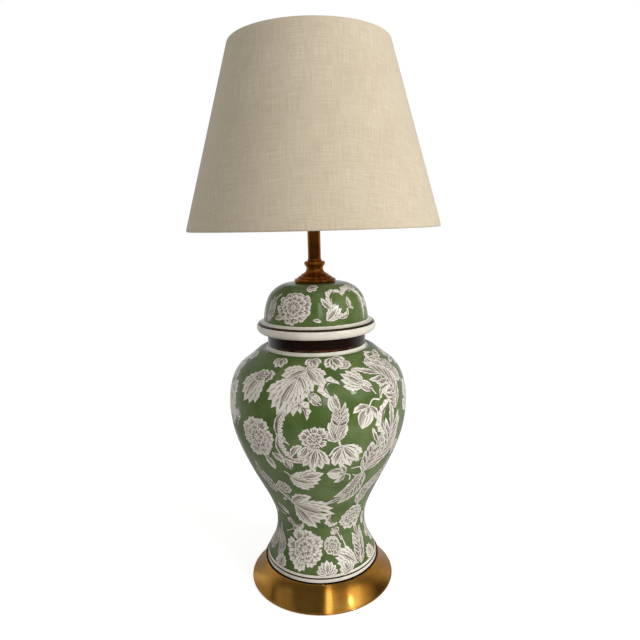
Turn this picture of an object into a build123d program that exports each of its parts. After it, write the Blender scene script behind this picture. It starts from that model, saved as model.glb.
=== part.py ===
# Ginger jar table lamp. A hollow porcelain jar and lid stand in a spun brass plinth, a threaded
# rod ties the stack together, and a turned neck carries a turn-key lamp holder, a lift-off wire
# harp and a hardback empire shade held down by a finial.
# Millimetres, +Z up, origin at the centre of the face that the lamp rests on.

import os
from math import cos, hypot, pi, radians, sin, tan

from build123d import *

os.makedirs("parts", exist_ok=True)

# Clearances
fit_gap = 0.05               # radial gap of a running or sliding fit
seat_gap = 0.1               # gap under a moving piece that rests on a seat
loose_gap = 0.45             # radial gap between the rod and what it only passes through

# Plinth: a spun brass skirt with a sunk seat for the jar, weighted and felted underneath
plinth_radius = 122.9        # outside of the bottom bead
plinth_mouth_radius = 99.6   # outside of the top edge
plinth_height = 38.0
skirt_hollow = 3.2           # how far the flare bows in from a straight cone
skirt_sheet = 1.2
skirt_crown = 0.7            # radius of the folded top edge
bead_radius = 1.8            # radius of the bottom bead's own roll
bead_lift = 0.4              # bead above the resting face
seat_depth = 6.2             # top edge down to the seat
felt_thickness = 2.0
plate_thickness = 1.2
plate_gap = 0.15             # closing plate to the bead
weight_radius = 90.0
weight_thickness = 16.0
weight_draft = 3.0           # how much the casting narrows towards its top
weight_channel = 9.0         # width of the cord channel under the casting
channel_depth = 5.0

# Cord outlet at the back of the skirt
outlet_share = 0.27          # place up the skirt's slope, from the bead
outlet_bore = 3.5            # radius of the way through
grommet_wall = 1.4
grommet_head_radius = 7.0
grommet_face_radius = 5.6    # flat face of the head, inside its bevel
grommet_head = 2.2           # thickness outside the skirt
grommet_rim = 1.1            # upright edge of the head
grommet_tail = 2.6           # length of the barbed end inside the skirt
grommet_barb = 0.6           # how far the barb stands out
grommet_play = 0.4           # skirt's inside to the barb

# Threaded rod and its nut and washer
rod_radius = 4.85
rod_bore = 3.2
rod_tail = 2.0               # rod below the nut
rod_head = 1.0               # rod above the holder's hub
nut_across_flats = 19.0
nut_height = 6.0
nut_bevel_share = 0.6        # bevel, as a share of what the corners reach past the flats
washer_radius = 17.0
washer_thickness = 1.6

# Jar: radii, and heights above the jar's own base
foot_pad = 1.8               # black rubber ring between the seat and the jar
foot_pad_inner = 60.0
jar_wall = 6.0
foot_radius = 95.6
foot_band = 8.0              # upright band at the foot
foot_ring_width = 12.0
foot_ring_height = 4.0
flare_radius = 87.2
flare_height = 26.4
waist_radius = 75.5
waist_height = 73.0
hip_radius = 98.2
hip_height = 143.0
swell_radius = 129.0
swell_height = 207.0
belly_radius = 146.3
belly_height = 295.0
shoulder_radius = 129.6
shoulder_drop = 39.0         # below the collar's base, as are the next two
crest_radius = 104.5
crest_drop = 18.6
neck_root_radius = 86.5
neck_root_drop = 8.4
collar_radius = 80.0
collar_base_height = 384.8
collar_height = 17.6

# Lid: radii, and heights above the underside of its rim
lid_wall = 5.0
lid_gasket_thickness = 0.8
gasket_edge = 1.0            # each gasket stays this far inside the face that it lies on
rim_under_radius = 93.0
rim_radius = 97.3
rim_belly_height = 7.6
rim_top_radius = 92.6
rim_top_height = 15.4
dome_root_radius = 85.2
dome_root_height = 21.0
dome_side_radius = 81.6
dome_side_height = 41.5
dome_turn_radius = 72.6
dome_turn_height = 61.6
dome_top_radius = 57.6
dome_top_height = 73.4
crown_radius = 33.0          # flat spot that carries the cap
crown_height = 78.0
flange_depth = 9.0           # flange that drops inside the collar
flange_wall = 5.0
flange_gap = 1.0

# Vase cap and neck: radii, and heights above the seat of each
cap_gasket_thickness = 0.8
cap_sheet = 1.5
cap_radius = 33.6
cap_roll = 5.4               # height of the lower roll
cap_roll_widest = 2.4        # height of its widest point
cap_step = 0.8               # height and width of the two steps
cap_ring_radius = 28.6
cap_ring_height = 9.9
cap_top_radius = 22.4
cap_height = 11.8
spool_foot_radius = 20.4
spool_foot_edge = 1.0
spool_waist_radius = 13.6
spool_waist_height = 8.4
spool_lip_radius = 17.0
spool_lip_height = 17.4
spool_neck_radius = 15.0
spool_height = 21.0
spigot_length = 3.0          # pilots that centre the neck tube
tube_radius = 10.4
tube_wall = 1.1
tube_length = 54.7
tube_bead_radius = 11.6
tube_bead_height = 3.6
check_ring_radius = 12.8
check_ring_height = 3.6

# Harp saddle: a bent strip whose two ears carry the harp
saddle_sheet = 1.8
saddle_width = 14.0
saddle_bend = 2.4            # radius of the middle of the sheet at each bend
ear_height = 5.0             # seat of the harp above the strip
ledge_width = 9.0            # width of the ledge that the sleeve stands on
ledge_reach = 6.6            # ledge beyond the ear
tab_width = 4.0
tab_height = 11.0

# Harp, its sleeves and its stud
harp_wire = 2.0              # radius
harp_leg = 34.0              # leg from the axis
harp_leg_height = 40.0       # straight part of each leg
harp_spread = 58.0           # widest half width
harp_spread_low = 92.0       # heights above the harp's seat
harp_spread_high = 165.0
harp_height = 245.0
harp_top = 26.0              # half width of the top before rounding
harp_bend = 28.0             # bend radii
sleeve_wall = 1.0
sleeve_length = 13.0
stud_body_radius = 5.0
stud_body_length = 7.0
stud_flange_radius = 7.5
stud_flange = 1.4
stud_radius = 3.175
stud_length = 12.0
stud_edge = 0.8              # bevel at the threaded end

# Lamp holder
holder_sheet = 0.8
hub_radius = 7.8
hub_height = 8.0
holder_radius = 17.4         # outside of the lower cap
holder_cup_height = 26.0
shell_length = 43.0
shell_overlap = 5.0
shell_bead = 2.4             # height of the roll round the shell's mouth
shell_bead_reach = 1.0       # how far it stands out
liner_wall = 0.6
liner_drop = 3.0             # liner ends below the shell's mouth
block_radius = 14.9          # moulded block inside the shell
block_height = 12.0
screw_shell_wall = 0.5
screw_shell_length = 25.0
contact_radius = 4.2
contact_thickness = 0.9
contact_gap = 2.0            # centre contact to the screw shell
terminal_radius = 2.6
terminal_head = 1.6
terminal_shank = 1.4         # radius
terminal_length = 2.8        # shank in the block
terminal_clear = 0.6         # screw heads inside the block's radius
terminal_slot = 0.8
terminal_slot_depth = 0.6
set_screw_radius = 1.5
set_screw_length = 5.0

# Turn key
key_height = 30.0            # axis above the holder's seat
stem_radius = 2.0
stem_root = 3.0              # start of the stem, from the axis
stem_reach = 36.0
key_radius = 6.0
key_length = 12.0
key_grip = 8.0               # depth of the stem in the knob
key_edge = 1.5               # rounding of the knob's end
key_flutes = 12
key_flute_radius = 0.9

# Lamp bulb
bulb_cap_radius = 13.1
bulb_cap_wall = 0.5
bulb_cap_length = 22.0
bulb_cap_bevel = 1.5
bulb_tip_radius = 4.6
bulb_tip = 1.4
bulb_insulator = 3.0         # height of the glass insulator
bulb_insulator_ring = 4.0    # its width round the tip
bulb_neck_seat = 3.0         # glass inside the cap
bulb_radius = 30.0
bulb_waist_length = 54.0     # cap to the widest point
bulb_glass = 0.9

# Shade: a straight cone of linen on a stiff liner, on two wire rings
shade_bottom_radius = 200.0
shade_top_radius = 124.0
shade_height = 276.0
shade_recess = 10.5          # spider washer below the top edge
linen = 0.5
liner = 0.8
skin_gap = 0.02              # glue line between skins
ring_wire = 1.6              # radius
wire_gap = 0.12              # each edge wire to the cloth round it
hem_cloth = 0.9              # linen folded double round the wire
hem_outside = 3.9            # height of the rolled edge outside
hem_inside = 9.0             # height of the cloth tucked inside
hem_corner = 0.85            # from each corner to where the cloth starts to turn
hem_bend = 0.55              # inner radius of each of the corner's two bends
hem_fill = 0.98              # share of a short stretch that its bends may take
spider_arms = 3
spider_wire = 1.6
spider_washer_radius = 13.0
spider_washer = 1.6
spider_hub = 24.0            # radius at which each arm starts to rise
spider_level = 7.0           # level end of each arm at the ring
spider_bend = 5.0

# Finial
finial_foot_radius = 6.4
finial_foot = 3.0
finial_foot_roll = 0.5       # how far the foot's edge bulges
finial_neck_radius = 4.2
finial_neck = 5.6            # height of the neck
finial_collar = 1.2          # upright stretch under and over the ball
finial_ball_radius = 7.4
finial_ball = 13.4           # height of the ball's middle
finial_tip_radius = 1.9
finial_point = 0.8           # height of the blunt point on the tip
finial_height = 22.5
finial_bore_depth = 10.4

# Heights of the stack, from the resting face up
plate_low = felt_thickness
seat_top = plinth_height - seat_depth
seat_under = seat_top - skirt_sheet
weight_low = seat_under - weight_thickness
washer_low = weight_low - washer_thickness
nut_low = washer_low - nut_height
rod_low = nut_low - rod_tail
jar_low = seat_top + foot_pad
collar_low = jar_low + collar_base_height
collar_top = collar_low + collar_height
lid_low = collar_top + lid_gasket_thickness
crown_top = lid_low + crown_height
cap_low = crown_top + cap_gasket_thickness
spool_low = cap_low + cap_height
tube_low = spool_low + spool_height
tube_top = tube_low + tube_length
saddle_low = tube_top + check_ring_height
holder_low = saddle_low + saddle_sheet
rod_top = holder_low + hub_height + rod_head
harp_seat = holder_low + ear_height
harp_low = harp_seat + seat_gap
stud_low = harp_seat + harp_height - stud_body_length / 2
washer_seat = stud_low + stud_body_length + stud_flange
shade_top = washer_seat + seat_gap + spider_washer + shade_recess
shade_low = shade_top - shade_height
block_low = holder_low + key_height - block_height / 2
block_top = block_low + block_height
tip_low = block_top + contact_thickness + seat_gap
bulb_cap_low = tip_low + bulb_tip + bulb_insulator
bulb_cap_top = bulb_cap_low + bulb_cap_length
finial_low = washer_seat + seat_gap + spider_washer + seat_gap

# Radii that follow from the ones above
rod_hole = rod_radius + loose_gap
mouth_inner = plinth_mouth_radius - 2 * skirt_crown
collar_inner = collar_radius - jar_wall
flange_radius = collar_inner - flange_gap
tube_inner = tube_radius - tube_wall
spigot_radius = tube_inner - fit_gap
shell_radius = holder_radius - holder_sheet - fit_gap
liner_radius = shell_radius - holder_sheet - fit_gap
screw_shell_inner = bulb_cap_radius + fit_gap
screw_shell_radius = screw_shell_inner + screw_shell_wall
key_z = holder_low + key_height
tab_outer = harp_leg - harp_wire - seat_gap
tab_inner = tab_outer - saddle_sheet
sleeve_x = (tab_inner + harp_leg + harp_wire) / 2
sleeve_bore = hypot(sleeve_x - tab_inner, tab_width / 2) + seat_gap


def section(*lines):
    """A closed half outline, drawn as (radius, height)."""
    return make_face([edge for line in lines for edge in line.edges()])


def turned(*lines):
    """Revolve a half outline about the lamp's axis."""
    return revolve(Plane.XZ * section(*lines), Axis.Z)


def ring(inner, outer, low, high):
    return turned(Polyline((inner, low), (outer, low), (outer, high), (inner, high), close=True))


def inset(line, wall, count=11):
    """The same line moved towards the axis, square to itself, by the wall. The line runs upwards."""
    points = []
    for i in range(count):
        share = i / (count - 1)
        along = line % share
        points.append(line @ share + Vector(-along.Y, along.X) * wall)
    return Spline(*points)


def side_hole(radius, height, reach):
    """A round cutter from the axis out to the front, for the key's stem."""
    return Pos(0, 0, height) * Rot(90, 0, 0) * Cylinder(
        radius, reach, align=(Align.CENTER, Align.CENTER, Align.MIN))


# ---------------------------------------------------------------- plinth

bead_x = plinth_radius - bead_radius
bead_z = bead_lift + bead_radius
bead_leave = radians(40)     # where the skirt leaves the bead
bead_root = 0.85 * bead_radius
skirt_start = Vector(bead_x + bead_root * cos(bead_leave), bead_z + bead_root * sin(bead_leave))
skirt_end = Vector(plinth_mouth_radius, plinth_height - skirt_crown)
skirt_middle = (skirt_start + skirt_end) / 2 - Vector(skirt_hollow, 0)
skirt_line = ThreePointArc(skirt_start, skirt_middle, skirt_end)


def outlet_frame():
    """A plane on the skirt's back, square to its slope, at the cord outlet."""
    point = skirt_line @ outlet_share
    along = skirt_line % outlet_share
    side = 1 if along.Y > 0 else -1
    return Plane(origin=(0, point.X, point.Y), x_dir=(1, 0, 0),
                 z_dir=(0, along.Y * side, -along.X * side))


def share_at(line, radius):
    """How far along a line that runs inwards it reaches a radius."""
    low, high = 0.0, 1.0
    for _ in range(40):
        middle = (low + high) / 2
        low, high = (middle, high) if (line @ middle).X > radius else (low, middle)
    return low


def make_skirt():
    """Spun skirt, folded over at its mouth into an upright wall and the seat, on a rolled bead."""
    back = mouth_inner + skirt_sheet
    whole_inside = inset(skirt_line, skirt_sheet, 5)
    inside = whole_inside.trim(0, share_at(whole_inside, back))
    fold_low = plinth_height - skirt_crown
    shell = section(
        skirt_line,
        ThreePointArc((plinth_mouth_radius, fold_low),
                      (plinth_mouth_radius - skirt_crown, plinth_height), (mouth_inner, fold_low)),
        Polyline((mouth_inner, fold_low), (mouth_inner, seat_top), (rod_hole, seat_top),
                 (rod_hole, seat_under), (back, seat_under), inside @ 1),
        inside,
        Line(inside @ 0, skirt_line @ 0))
    bead = Pos(bead_x, bead_z) * Circle(bead_radius)
    hole = outlet_frame() * Cylinder(outlet_bore + grommet_wall + fit_gap, 6 * skirt_sheet)
    return revolve(Plane.XZ * (shell + bead), Axis.Z) - hole


def make_grommet(skirt):
    """Snap-in bush: a head outside, a sleeve through the wall and a barbed end inside."""
    sleeve = outlet_bore + grommet_wall
    barb = sleeve + grommet_barb
    inside = -skirt_sheet - grommet_play
    outline = Polyline(
        (outlet_bore, inside - grommet_tail), (sleeve, inside - grommet_tail), (barb, inside),
        (sleeve, inside), (sleeve, 0), (grommet_head_radius, 0),
        (grommet_head_radius, grommet_rim), (grommet_face_radius, grommet_head),
        (outlet_bore, grommet_head), close=True)
    bush = outlet_frame() * turned(outline)
    return bush - skirt


def make_weight():
    """Cast disc, drafted towards its top, with a channel under it from the rod to the outlet."""
    top = weight_radius - weight_draft
    disc = turned(Polyline((rod_hole, weight_low), (weight_radius, weight_low),
                           (top, seat_under), (rod_hole, seat_under), close=True))
    channel = Pos(0, weight_radius / 2 + washer_radius, weight_low + channel_depth / 2) * Box(
        weight_channel, weight_radius, channel_depth)
    return disc - channel


def make_felt_and_plate():
    radius = bead_x - bead_radius - plate_gap
    felt = ring(0, radius, 0, felt_thickness)
    plate = ring(0, radius, plate_low, plate_low + plate_thickness)
    return felt, plate


def make_nut():
    hexagon = RegularPolygon(nut_across_flats / 2, 6, major_radius=False)
    body = Pos(0, 0, nut_low) * extrude(hexagon, nut_height)
    corner = nut_across_flats / 2 / cos(pi / 6)
    bevel = (corner - nut_across_flats / 2) * nut_bevel_share
    crown = turned(Polyline((0, nut_low), (corner - bevel, nut_low), (corner, nut_low + bevel),
                            (corner, nut_low + nut_height), (0, nut_low + nut_height), close=True))
    bore = Pos(0, 0, nut_low + nut_height / 2) * Cylinder(rod_radius + fit_gap, 2 * nut_height)
    return (body & crown) - bore


# ---------------------------------------------------------------- jar and lid

def at_jar(radius, height):
    return (radius, jar_low + height)


def at_lid(radius, height):
    return (radius, lid_low + height)


def make_jar():
    """Slip-cast jar: foot ring, waisted flare, high belly, rounded shoulder and upright collar."""
    outside = Spline(
        at_jar(foot_radius, foot_band), at_jar(flare_radius, flare_height),
        at_jar(waist_radius, waist_height), at_jar(hip_radius, hip_height),
        at_jar(swell_radius, swell_height), at_jar(belly_radius, belly_height),
        at_jar(shoulder_radius, collar_base_height - shoulder_drop),
        at_jar(crest_radius, collar_base_height - crest_drop),
        at_jar(neck_root_radius, collar_base_height - neck_root_drop),
        at_jar(collar_radius, collar_base_height),
        tangents=[(-0.22, 1), (0, 1)])
    inside = inset(outside, jar_wall, 25)
    floor_top = inside @ 0
    ring_inner = foot_radius - foot_ring_width
    floor_low = jar_low + foot_ring_height
    edge = 1.0               # rounding of the foot and lip, drawn as bevels
    return turned(
        Polyline((rod_hole, floor_low), (ring_inner - foot_ring_height / 2, floor_low),
                 (ring_inner, jar_low), (foot_radius - edge, jar_low),
                 (foot_radius, jar_low + edge), outside @ 0),
        outside,
        Polyline(outside @ 1, (collar_radius, collar_top - edge), (collar_radius - edge, collar_top),
                 (collar_inner + edge, collar_top), (collar_inner, collar_top - edge), inside @ 1),
        inside,
        Polyline(floor_top, (rod_hole, floor_top.Y), (rod_hole, floor_low)))


def make_lid():
    """Domed lid: rolled rim, near-upright sides, drilled flat crown and a flange inside the collar."""
    dome = Spline(
        at_lid(dome_root_radius, dome_root_height), at_lid(dome_side_radius, dome_side_height),
        at_lid(dome_turn_radius, dome_turn_height), at_lid(dome_top_radius, dome_top_height),
        at_lid(crown_radius, crown_height), tangents=[(-0.1, 1), (-1, 0.08)])
    hollow = inset(dome, lid_wall)
    rim = ThreePointArc(at_lid(rim_under_radius, 0), at_lid(rim_radius, rim_belly_height),
                        at_lid(rim_top_radius, rim_top_height))
    cove = Spline(rim @ 1, dome @ 0, tangents=[(-1, 0.35), (-0.1, 1)])
    flange_inner = flange_radius - flange_wall
    hollow_top = hollow @ 1
    hollow_foot = hollow @ 0
    return turned(
        Polyline(at_lid(flange_inner, -flange_depth), at_lid(flange_radius, -flange_depth),
                 at_lid(flange_radius, 0), rim @ 0),
        rim, cove, dome,
        Polyline(dome @ 1, (rod_hole, crown_top), (rod_hole, hollow_top.Y), hollow_top),
        hollow,
        Polyline(hollow_foot, at_lid(flange_inner, lid_wall), at_lid(flange_inner, -flange_depth)))


# ---------------------------------------------------------------- cap and neck

def make_cap():
    """Spun cap: a full lower roll, two steps and a second roll under the neck."""
    roll_top = cap_low + cap_roll
    ring_low = roll_top + cap_step
    ring_top = cap_low + cap_ring_height
    roll_in = cap_ring_radius + 2 * cap_step
    cap_top = cap_low + cap_height
    hollow = cap_radius - cap_step - cap_sheet
    return turned(
        ThreePointArc((cap_radius - cap_step, cap_low), (cap_radius, cap_low + cap_roll_widest),
                      (roll_in, roll_top)),
        Polyline((roll_in, roll_top), (cap_ring_radius, roll_top), (cap_ring_radius, ring_low)),
        ThreePointArc((cap_ring_radius, ring_low),
                      ((cap_ring_radius + cap_top_radius) / 2 + cap_step, (ring_low + ring_top) / 2
                       + cap_step / 2), (cap_top_radius + cap_step, ring_top)),
        Polyline((cap_top_radius + cap_step, ring_top), (cap_top_radius, ring_top),
                 (cap_top_radius, cap_top), (rod_hole, cap_top), (rod_hole, cap_top - cap_sheet),
                 (cap_top_radius - cap_sheet, cap_top - cap_sheet),
                 (cap_ring_radius - 2 * cap_sheet, ring_low - cap_step),
                 (hollow, cap_low), (cap_radius - cap_step, cap_low)))


def make_spool():
    """Turned neck: a flared foot, a drawn-in waist and a rolled lip, with a pilot for the tube."""
    foot = spool_low + spool_foot_edge
    waist = spool_low + spool_waist_height
    lip = spool_low + spool_lip_height
    lip_half = tube_low - lip
    sweep_in = Spline((spool_foot_radius, foot), (spool_waist_radius, waist),
                      (spool_neck_radius, lip - lip_half), tangents=[(-1, 0.35), (0.75, 1)])
    return turned(
        Polyline((rod_hole, spool_low), (spool_foot_radius, spool_low), (spool_foot_radius, foot)),
        sweep_in,
        ThreePointArc(sweep_in @ 1, (spool_lip_radius, lip), (spool_neck_radius, tube_low)),
        Polyline((spool_neck_radius, tube_low), (spigot_radius, tube_low),
                 (spigot_radius, tube_low + spigot_length), (rod_hole, tube_low + spigot_length),
                 (rod_hole, spool_low)))


def make_tube():
    bead_top = tube_low + tube_bead_height
    return turned(
        Polyline((tube_inner, tube_low), (tube_radius, tube_low)),
        ThreePointArc((tube_radius, tube_low), (tube_bead_radius, tube_low + tube_bead_height / 2),
                      (tube_radius, bead_top)),
        Polyline((tube_radius, bead_top), (tube_radius, tube_top), (tube_inner, tube_top),
                 (tube_inner, tube_low)))


def make_check_ring():
    edge = check_ring_height / 2
    return turned(
        Polyline((rod_hole, tube_top - spigot_length), (spigot_radius, tube_top - spigot_length),
                 (spigot_radius, tube_top), (check_ring_radius - edge, tube_top)),
        ThreePointArc((check_ring_radius - edge, tube_top), (check_ring_radius, tube_top + edge),
                      (check_ring_radius - edge, saddle_low)),
        Polyline((check_ring_radius - edge, saddle_low), (rod_hole, saddle_low),
                 (rod_hole, tube_top - spigot_length)))


# ---------------------------------------------------------------- harp

def make_saddle():
    """Bent strip with a round middle; each ear steps out to a ledge and ends in a narrow tab."""
    mid = saddle_low + saddle_sheet / 2
    ear_x = tab_outer - saddle_sheet / 2
    tab_top = harp_seat + tab_height
    strip = FilletPolyline((-ear_x, tab_top), (-ear_x, mid), (ear_x, mid), (ear_x, tab_top),
                           radius=saddle_bend)
    body = extrude(Plane.XZ * trace(strip, saddle_sheet), saddle_width / 2, both=True)
    middle = ring(0, check_ring_radius, saddle_low, holder_low)
    beside = (tab_width + saddle_width) / 2
    reach = tab_outer + ledge_reach
    trim = []
    ledges = []
    for side in (-1, 1):
        for y in (-beside, beside):
            trim.append(Pos(side * ear_x, y, harp_seat + tab_height) * Box(
                4 * saddle_sheet, saddle_width, 2 * tab_height))
        ledges.append(Pos(side * (tab_inner + reach) / 2, 0, harp_seat - saddle_sheet / 2) * Box(
            reach - tab_inner, ledge_width, saddle_sheet))
    bore = Pos(0, 0, saddle_low) * Cylinder(rod_hole, 4 * saddle_sheet)
    return body - trim + ledges + middle - bore


def make_harp():
    """Harp wire: straight legs, a bellied loop and a level top under the stud."""
    top = harp_seat + harp_height
    half = [
        (harp_leg, harp_low), (harp_leg, harp_seat + harp_leg_height),
        (harp_spread, harp_seat + harp_spread_low), (harp_spread, harp_seat + harp_spread_high),
        (harp_top, top)]
    left = [(-x, z) for x, z in half]
    path = Plane.XZ * FilletPolyline(*half, *reversed(left), radius=harp_bend)
    return sweep(Plane(origin=path @ 0, z_dir=path % 0) * Circle(harp_wire), path=path)


def make_stud():
    """Swivel stud on the harp's top: a cross-drilled body, a flange and a threaded end."""
    flange_low = stud_low + stud_body_length
    stud_top = washer_seat + stud_length
    body = turned(Polyline(
        (0, stud_low), (stud_body_radius, stud_low), (stud_body_radius, flange_low),
        (stud_flange_radius, flange_low), (stud_flange_radius, washer_seat),
        (stud_radius, washer_seat), (stud_radius, stud_top - stud_edge),
        (stud_radius - stud_edge, stud_top), (0, stud_top), close=True))
    wire_hole = Pos(0, 0, harp_seat + harp_height) * Rot(0, 90, 0) * Cylinder(
        harp_wire + fit_gap, 4 * stud_body_radius)
    return body - wire_hole


def make_sleeve(side):
    """Ferrule that drops over the leg and the saddle's tab and locks them together."""
    return Pos(side * sleeve_x, 0, 0) * ring(
        sleeve_bore, sleeve_bore + sleeve_wall, harp_low, harp_low + sleeve_length)


# ---------------------------------------------------------------- lamp holder and key

def make_holder_cup():
    """Lower cap of the holder: a threaded hub that opens into a thin cup."""
    cup_low = holder_low + hub_height
    cup_turn = holder_low + hub_height + (holder_radius - hub_radius)
    cup_top = holder_low + holder_cup_height
    bore = rod_radius + fit_gap
    cup = turned(Polyline(
        (bore, holder_low), (hub_radius, holder_low), (hub_radius, cup_low),
        (holder_radius, cup_turn), (holder_radius, cup_top), (holder_radius - holder_sheet, cup_top),
        (holder_radius - holder_sheet, cup_turn + holder_sheet / 2),
        (hub_radius - holder_sheet, cup_low + holder_sheet), (bore, cup_low + holder_sheet),
        close=True))
    screw_hole = Pos(0, 0, holder_low + hub_height / 2) * Rot(0, 90, 0) * Cylinder(
        set_screw_radius + fit_gap, 3 * hub_radius, align=(Align.CENTER, Align.CENTER, Align.MIN))
    return cup - screw_hole


def make_set_screw():
    tip = rod_radius + fit_gap
    screw = Cylinder(set_screw_radius, set_screw_length,
                     align=(Align.CENTER, Align.CENTER, Align.MIN))
    slot = Pos(0, 0, set_screw_length) * Box(3 * set_screw_radius, set_screw_radius / 2,
                                             set_screw_radius)
    return Pos(tip, 0, holder_low + hub_height / 2) * Rot(0, 90, 0) * (screw - slot)


def make_holder_shell():
    """Upper shell, pressed inside the cup, beaded at its mouth and pierced for the key."""
    low = holder_low + holder_cup_height - shell_overlap
    high = low + shell_length
    inner = shell_radius - holder_sheet
    shell = turned(
        Polyline((inner, high), (inner, low), (shell_radius, low),
                 (shell_radius, high - shell_bead)),
        ThreePointArc((shell_radius, high - shell_bead),
                      (shell_radius + shell_bead_reach, high - shell_bead / 2),
                      (shell_radius, high)),
        Line((shell_radius, high), (inner, high)))
    return shell - side_hole(stem_radius + loose_gap, key_z, 2 * shell_radius)


def make_liner_tube():
    """Insulating sleeve between the shell and the live parts."""
    low = holder_low + holder_cup_height - shell_overlap
    tube = ring(liner_radius - liner_wall, liner_radius, low, low + shell_length - liner_drop)
    return tube - side_hole(stem_radius + loose_gap, key_z, 2 * shell_radius)


def make_block():
    """Moulded switch block: flats for the terminals and a bearing for the key's stem."""
    body = ring(0, block_radius, block_low, block_top)
    flat = block_radius - terminal_clear - terminal_head
    body &= Pos(0, 0, (block_low + block_top) / 2) * Box(2 * flat, 2 * block_radius, block_height)
    body -= side_hole(stem_radius + fit_gap, key_z, 2 * block_radius)
    for side in (-1, 1):
        body -= Pos(side * flat, 0, key_z) * Rot(0, 90, 0) * Cylinder(
            terminal_shank + fit_gap, 2 * terminal_length)
    return body, flat


def make_terminals(flat):
    screws = []
    for side in (-1, 1):
        head = Cylinder(terminal_radius, terminal_head, align=(Align.CENTER, Align.CENTER, Align.MIN))
        shank = Cylinder(terminal_shank, terminal_length,
                         align=(Align.CENTER, Align.CENTER, Align.MAX))
        slot = Pos(0, 0, terminal_head) * Box(
            2 * terminal_radius, terminal_slot, 2 * terminal_slot_depth)
        screws.append(Pos(side * flat, 0, key_z) * Rot(0, 90 * side, 0) * (head + shank - slot))
    return Compound(children=screws)


def make_screw_shell():
    flange = screw_shell_wall
    top = block_top + screw_shell_length
    hole = contact_radius + contact_gap
    return turned(Polyline(
        (hole, block_top), (screw_shell_radius, block_top), (screw_shell_radius, top),
        (screw_shell_inner, top), (screw_shell_inner, block_top + flange),
        (hole, block_top + flange), close=True))


def make_contact():
    return ring(0, contact_radius, block_top, block_top + contact_thickness)


def make_stem():
    return Pos(0, -stem_root, key_z) * Rot(90, 0, 0) * Cylinder(
        stem_radius, stem_reach - stem_root, align=(Align.CENTER, Align.CENTER, Align.MIN))


def make_key():
    """Round fluted knob on the end of the stem."""
    knob = Cylinder(key_radius, key_length, align=(Align.CENTER, Align.CENTER, Align.MIN))
    knob = fillet(knob.faces().sort_by(Axis.Z)[-1].edges(), key_edge)
    for i in range(key_flutes):
        turn = 360 * i / key_flutes
        knob -= Rot(0, 0, turn) * Pos(key_radius, 0, 0) * Cylinder(
            key_flute_radius, 4 * key_length)
    knob -= Cylinder(stem_radius + fit_gap, key_grip, align=(Align.CENTER, Align.CENTER, Align.MIN))
    return Pos(0, -(stem_reach - key_grip), key_z) * Rot(90, 0, 0) * knob


# ---------------------------------------------------------------- bulb

def make_bulb():
    """Pear-shaped globe cemented into a metal cap, with an insulator and a soldered tip."""
    neck = bulb_cap_radius - bulb_cap_wall - fit_gap
    neck_inner = neck - bulb_glass
    inner = bulb_radius - bulb_glass
    widest = bulb_cap_top + bulb_waist_length
    neck_low = bulb_cap_top - bulb_neck_seat
    bow = cos(pi / 4)
    globe = turned(
        Line((neck, neck_low), (neck, bulb_cap_top)),
        Spline((neck, bulb_cap_top), (bulb_radius, widest), tangents=[(0, 1), (0, 1)]),
        ThreePointArc((bulb_radius, widest), (bulb_radius * bow, widest + bulb_radius * bow),
                      (0, widest + bulb_radius)),
        Line((0, widest + bulb_radius), (0, widest + inner)),
        ThreePointArc((0, widest + inner), (inner * bow, widest + inner * bow), (inner, widest)),
        Spline((inner, widest), (neck_inner, bulb_cap_top), tangents=[(0, -1), (0, -1)]),
        Polyline((neck_inner, bulb_cap_top), (neck_inner, neck_low), (neck, neck_low)))
    cap_inner = bulb_cap_radius - bulb_cap_wall
    cap_hole = bulb_tip_radius + bulb_insulator_ring
    cap = turned(Polyline(
        (cap_hole, bulb_cap_low), (bulb_cap_radius - bulb_cap_bevel, bulb_cap_low),
        (bulb_cap_radius, bulb_cap_low + bulb_cap_bevel), (bulb_cap_radius, bulb_cap_top),
        (cap_inner, bulb_cap_top), (cap_inner, bulb_cap_low + bulb_cap_bevel),
        (cap_inner - bulb_cap_bevel, bulb_cap_low + bulb_cap_wall),
        (cap_hole, bulb_cap_low + bulb_cap_wall), close=True))
    seat = bulb_cap_low - bulb_insulator
    insulator = turned(Polyline(
        (0, seat), (bulb_tip_radius + fit_gap, seat), (cap_hole - fit_gap, bulb_cap_low),
        (cap_hole - fit_gap, bulb_cap_low + bulb_cap_wall), (0, bulb_cap_low + bulb_cap_wall),
        close=True))
    solder = (bulb_tip_radius ** 2 + bulb_tip ** 2) / (2 * bulb_tip)
    ball = Pos(0, 0, tip_low + solder) * Sphere(solder)
    tip = ball & ring(0, 2 * bulb_tip_radius, tip_low - bulb_tip, seat)
    return globe, cap, insulator, tip


# ---------------------------------------------------------------- shade

shade_slope = (shade_bottom_radius - shade_top_radius) / shade_height
shade_face = hypot(1, shade_slope)   # sloping length for one unit of height


def shade_radius(height, depth=0.0):
    """Radius of the shade's wall at a height, at a depth measured square to the linen."""
    return shade_bottom_radius - (height - shade_low) * shade_slope - depth * shade_face


def cone(depth, wall, low, high):
    return turned(Polyline(
        (shade_radius(low, depth), low), (shade_radius(high, depth), high),
        (shade_radius(high, depth + wall), high), (shade_radius(low, depth + wall), low),
        close=True))


liner_depth = linen + skin_gap
ring_depth = hem_cloth + wire_gap + ring_wire
ring_rise = ring_depth                     # middle of each wire from the edge beside it
bottom_ring_z = shade_low + ring_rise
top_ring_z = shade_top - ring_rise
liner_edge = ring_rise + ring_wire + seat_gap
linen_edge = hem_outside + hem_cloth * shade_slope   # linen butts on the rolled edge
ring_x = shade_radius(top_ring_z, ring_depth)
spider_low = washer_seat + seat_gap


def make_ring_wire(height):
    return Pos(0, 0, height) * Torus(shade_radius(height, ring_depth), ring_wire)


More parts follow.
